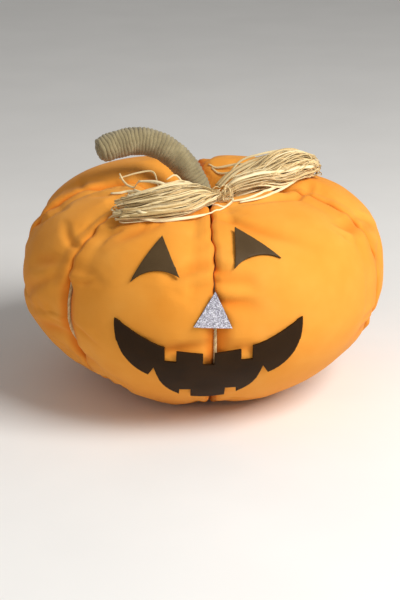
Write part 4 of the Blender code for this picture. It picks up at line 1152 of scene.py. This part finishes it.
def flat_sheet(name, outline):
    """The outline as one flat mesh, cut into small cells so that it can bend."""
    curve = bpy.data.curves.new(name, "CURVE")
    curve.dimensions = "2D"
    curve.fill_mode = "BOTH"
    spline = curve.splines.new("POLY")
    spline.points.add(len(outline) - 1)
    for knot, (x, y) in zip(spline.points, outline):
        knot.co = (x, y, 0.0, 1.0)
    spline.use_cyclic_u = True
    drawn = show(name, curve)
    bm = bmesh.new()
    bm.from_mesh(bpy.data.meshes.new_from_object(drawn.evaluated_get(bpy.context.evaluated_depsgraph_get())))
    bpy.data.objects.remove(drawn, do_unlink=True)
    bmesh.ops.remove_doubles(bm, verts=bm.verts, dist=0.00004)
    bmesh.ops.dissolve_limit(bm, angle_limit=math.radians(0.3), verts=bm.verts, edges=bm.edges)
    for axis in (0, 1):
        cuts = math.ceil(max(abs(vert.co[axis]) for vert in bm.verts) / SHEET_STEP)
        across = Vector((1 - axis, axis, 0))
        for cut in range(-cuts, cuts):
            everything = bm.verts[:] + bm.edges[:] + bm.faces[:]
            place = across * ((cut + 0.5) * SHEET_STEP)
            bmesh.ops.bisect_plane(bm, geom=everything, dist=0.0002, plane_co=place, plane_no=across)
    for face in bm.faces:
        if face.normal.z < 0:
            face.normal_flip()
    mesh = bpy.data.meshes.new(name)
    bm.to_mesh(mesh)
    bm.free()
    return mesh


def foam_piece(name, solid, outline, azimuth, height, facing, roll, slot, *coats):
    """A foam shape held in front of the bag, square to its facing, and pressed straight back on to it."""
    way = math.radians(azimuth)
    ahead = Vector((math.sin(way), -math.cos(way), 0))
    middle = bag_tree.ray_cast(ahead * (3 * REACH) + Vector((0, 0, height)), -ahead)[0]
    turn = Matrix.Rotation(way, 4, "Z") @ Matrix.Rotation(math.radians(90 - facing), 4, "X")
    turn = turn @ Matrix.Rotation(math.radians(roll), 4, "Z")
    sheet = show(name, flat_sheet(name, outline), *coats)
    sheet.matrix_world = Matrix.Translation(middle) @ turn @ Matrix.Translation((0, 0, REACH / 2))
    press = sheet.modifiers.new("Pressed on to the bag", "SHRINKWRAP")
    press.target = face_form
    press.wrap_method = "PROJECT"
    press.use_project_z = True
    press.use_positive_direction = False
    press.use_negative_direction = True
    press.offset = FOAM_LIFT
    soften = sheet.modifiers.new("Stiff sheet", "SMOOTH")
    soften.iterations = 6
    soften.factor = 0.5
    soften.use_x = soften.use_y = False
    foam = sheet.modifiers.new("Foam sheet", "SOLIDIFY")
    foam.thickness = FOAM
    foam.offset = 1.0
    if len(coats) > 1:
        foam.material_offset = foam.material_offset_rim = 1
    rounded = sheet.modifiers.new("Cut edge", "BEVEL")
    rounded.width = EDGE_ROUND
    rounded.segments = 2
    rounded.limit_method = "ANGLE"
    rounded.angle_limit = math.radians(50)
    bpy.ops.object.select_all(action="DESELECT")
    sheet.select_set(True)
    bpy.context.view_layer.objects.active = sheet
    for modifier in list(sheet.modifiers):
        bpy.ops.object.modifier_apply(modifier=modifier.name)
    sheet.data.transform(sheet.matrix_world)
    sheet.matrix_world = Matrix.Identity(4)
    bpy.ops.object.shade_smooth_by_angle(angle=math.radians(40))
    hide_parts(solid)
    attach(sheet, "root")
    return sheet


face_form = build_form()
GRAIN = 0.0007  # one pit of the foam's skin


def foam_material(name, dark, light):
    """Ethylene foam sheet: brown, matt with a faint waxy gloss, a fine pitted skin."""
    made, tree, shader = new_material(name, 0.55, Specular_IOR_Level=0.12)
    place = node(tree, "TexCoord").outputs["Object"]
    pits = node(tree, "TexNoise", {"Vector": place, "Scale": 1 / GRAIN, "Detail": 3.0, "Roughness": 0.6})
    worn = node(tree, "TexNoise", {"Vector": place, "Scale": 45.0, "Detail": 3.0})
    mixed = node(tree, "Mix", {0: 0.5, 2: pits.outputs["Fac"], 3: worn.outputs["Fac"]}, data_type="FLOAT")
    shown = colour_steps(tree, mixed.outputs[0], (0.3, dark), (0.7, light))
    tree.links.new(shown, shader.inputs["Base Color"])
    bump = node(tree, "Bump", {"Height": pits.outputs["Fac"], "Strength": 0.25, "Distance": 0.00015})
    tree.links.new(bump.outputs["Normal"], shader.inputs["Normal"])
    return made


dark_foam = foam_material("dark brown craft foam", "#241403", "#331F07")
eye_foam_painted_lighter = foam_material("brown craft foam painted lighter for the eyes", "#45341F", "#55432B")  # painted light: the eyes are the same foam, made paler for the light their upward faces catch

FLAKE = 0.0007  # one flake of glitter

# glitter set in clear glue: small silver flakes, each at its own tilt, some lilac and some in shadow
silver_glitter, tree, shader = new_material("silver glitter foam", 0.3, Metallic=0.55, Specular_IOR_Level=0.6)
place = node(tree, "TexCoord").outputs["Object"]
flakes = node(tree, "TexVoronoi", {"Vector": place, "Scale": 1 / FLAKE, "Randomness": 1.0})
tones = node(tree, "SeparateColor", {"Color": flakes.outputs["Color"]})
silver_steps = (0.0, "#706E78"), (0.25, "#A09EAC"), (0.55, "#C4C2D0"), (0.8, "#DEDDEA"), (0.97, "#F6F6FC")
silver = colour_steps(tree, tones.outputs["Red"], *silver_steps)
tree.links.new(silver, shader.inputs["Base Color"])
tilted = node(tree, "Bump", {"Height": tones.outputs["Green"], "Strength": 0.7, "Distance": 0.0004})
tree.links.new(tilted.outputs["Normal"], shader.inputs["Normal"])

eye = eye_outline()
low = -NOSE_HEIGHT / 3
nose = [(-NOSE_WIDTH / 2, low), (NOSE_WIDTH / 2, low), (0.0, low + NOSE_HEIGHT)]
mirrored_eye = [(-x, y) for x, y in reversed(eye)]
# the eyes take the foam painted lighter, for the light that falls on their upward faces
foam_piece("left_eye", "eye_left", mirrored_eye, -15.2, 0.173, 33, 10, "brown_foam", eye_foam_painted_lighter)
foam_piece("right_eye", "eye_right", eye, 16.3, 0.181, 43, 7, "brown_foam", eye_foam_painted_lighter)
foam_piece("glitter_nose", "nose", nose, 2.9, 0.130, 5, -4, "glitter_foam", silver_glitter, dark_foam)
foam_piece("toothed_mouth", "mouth", mouth_outline(), 1.5, 0.095, -22, -0.5, "brown_foam", dark_foam)
bpy.data.objects.remove(face_form, do_unlink=True)
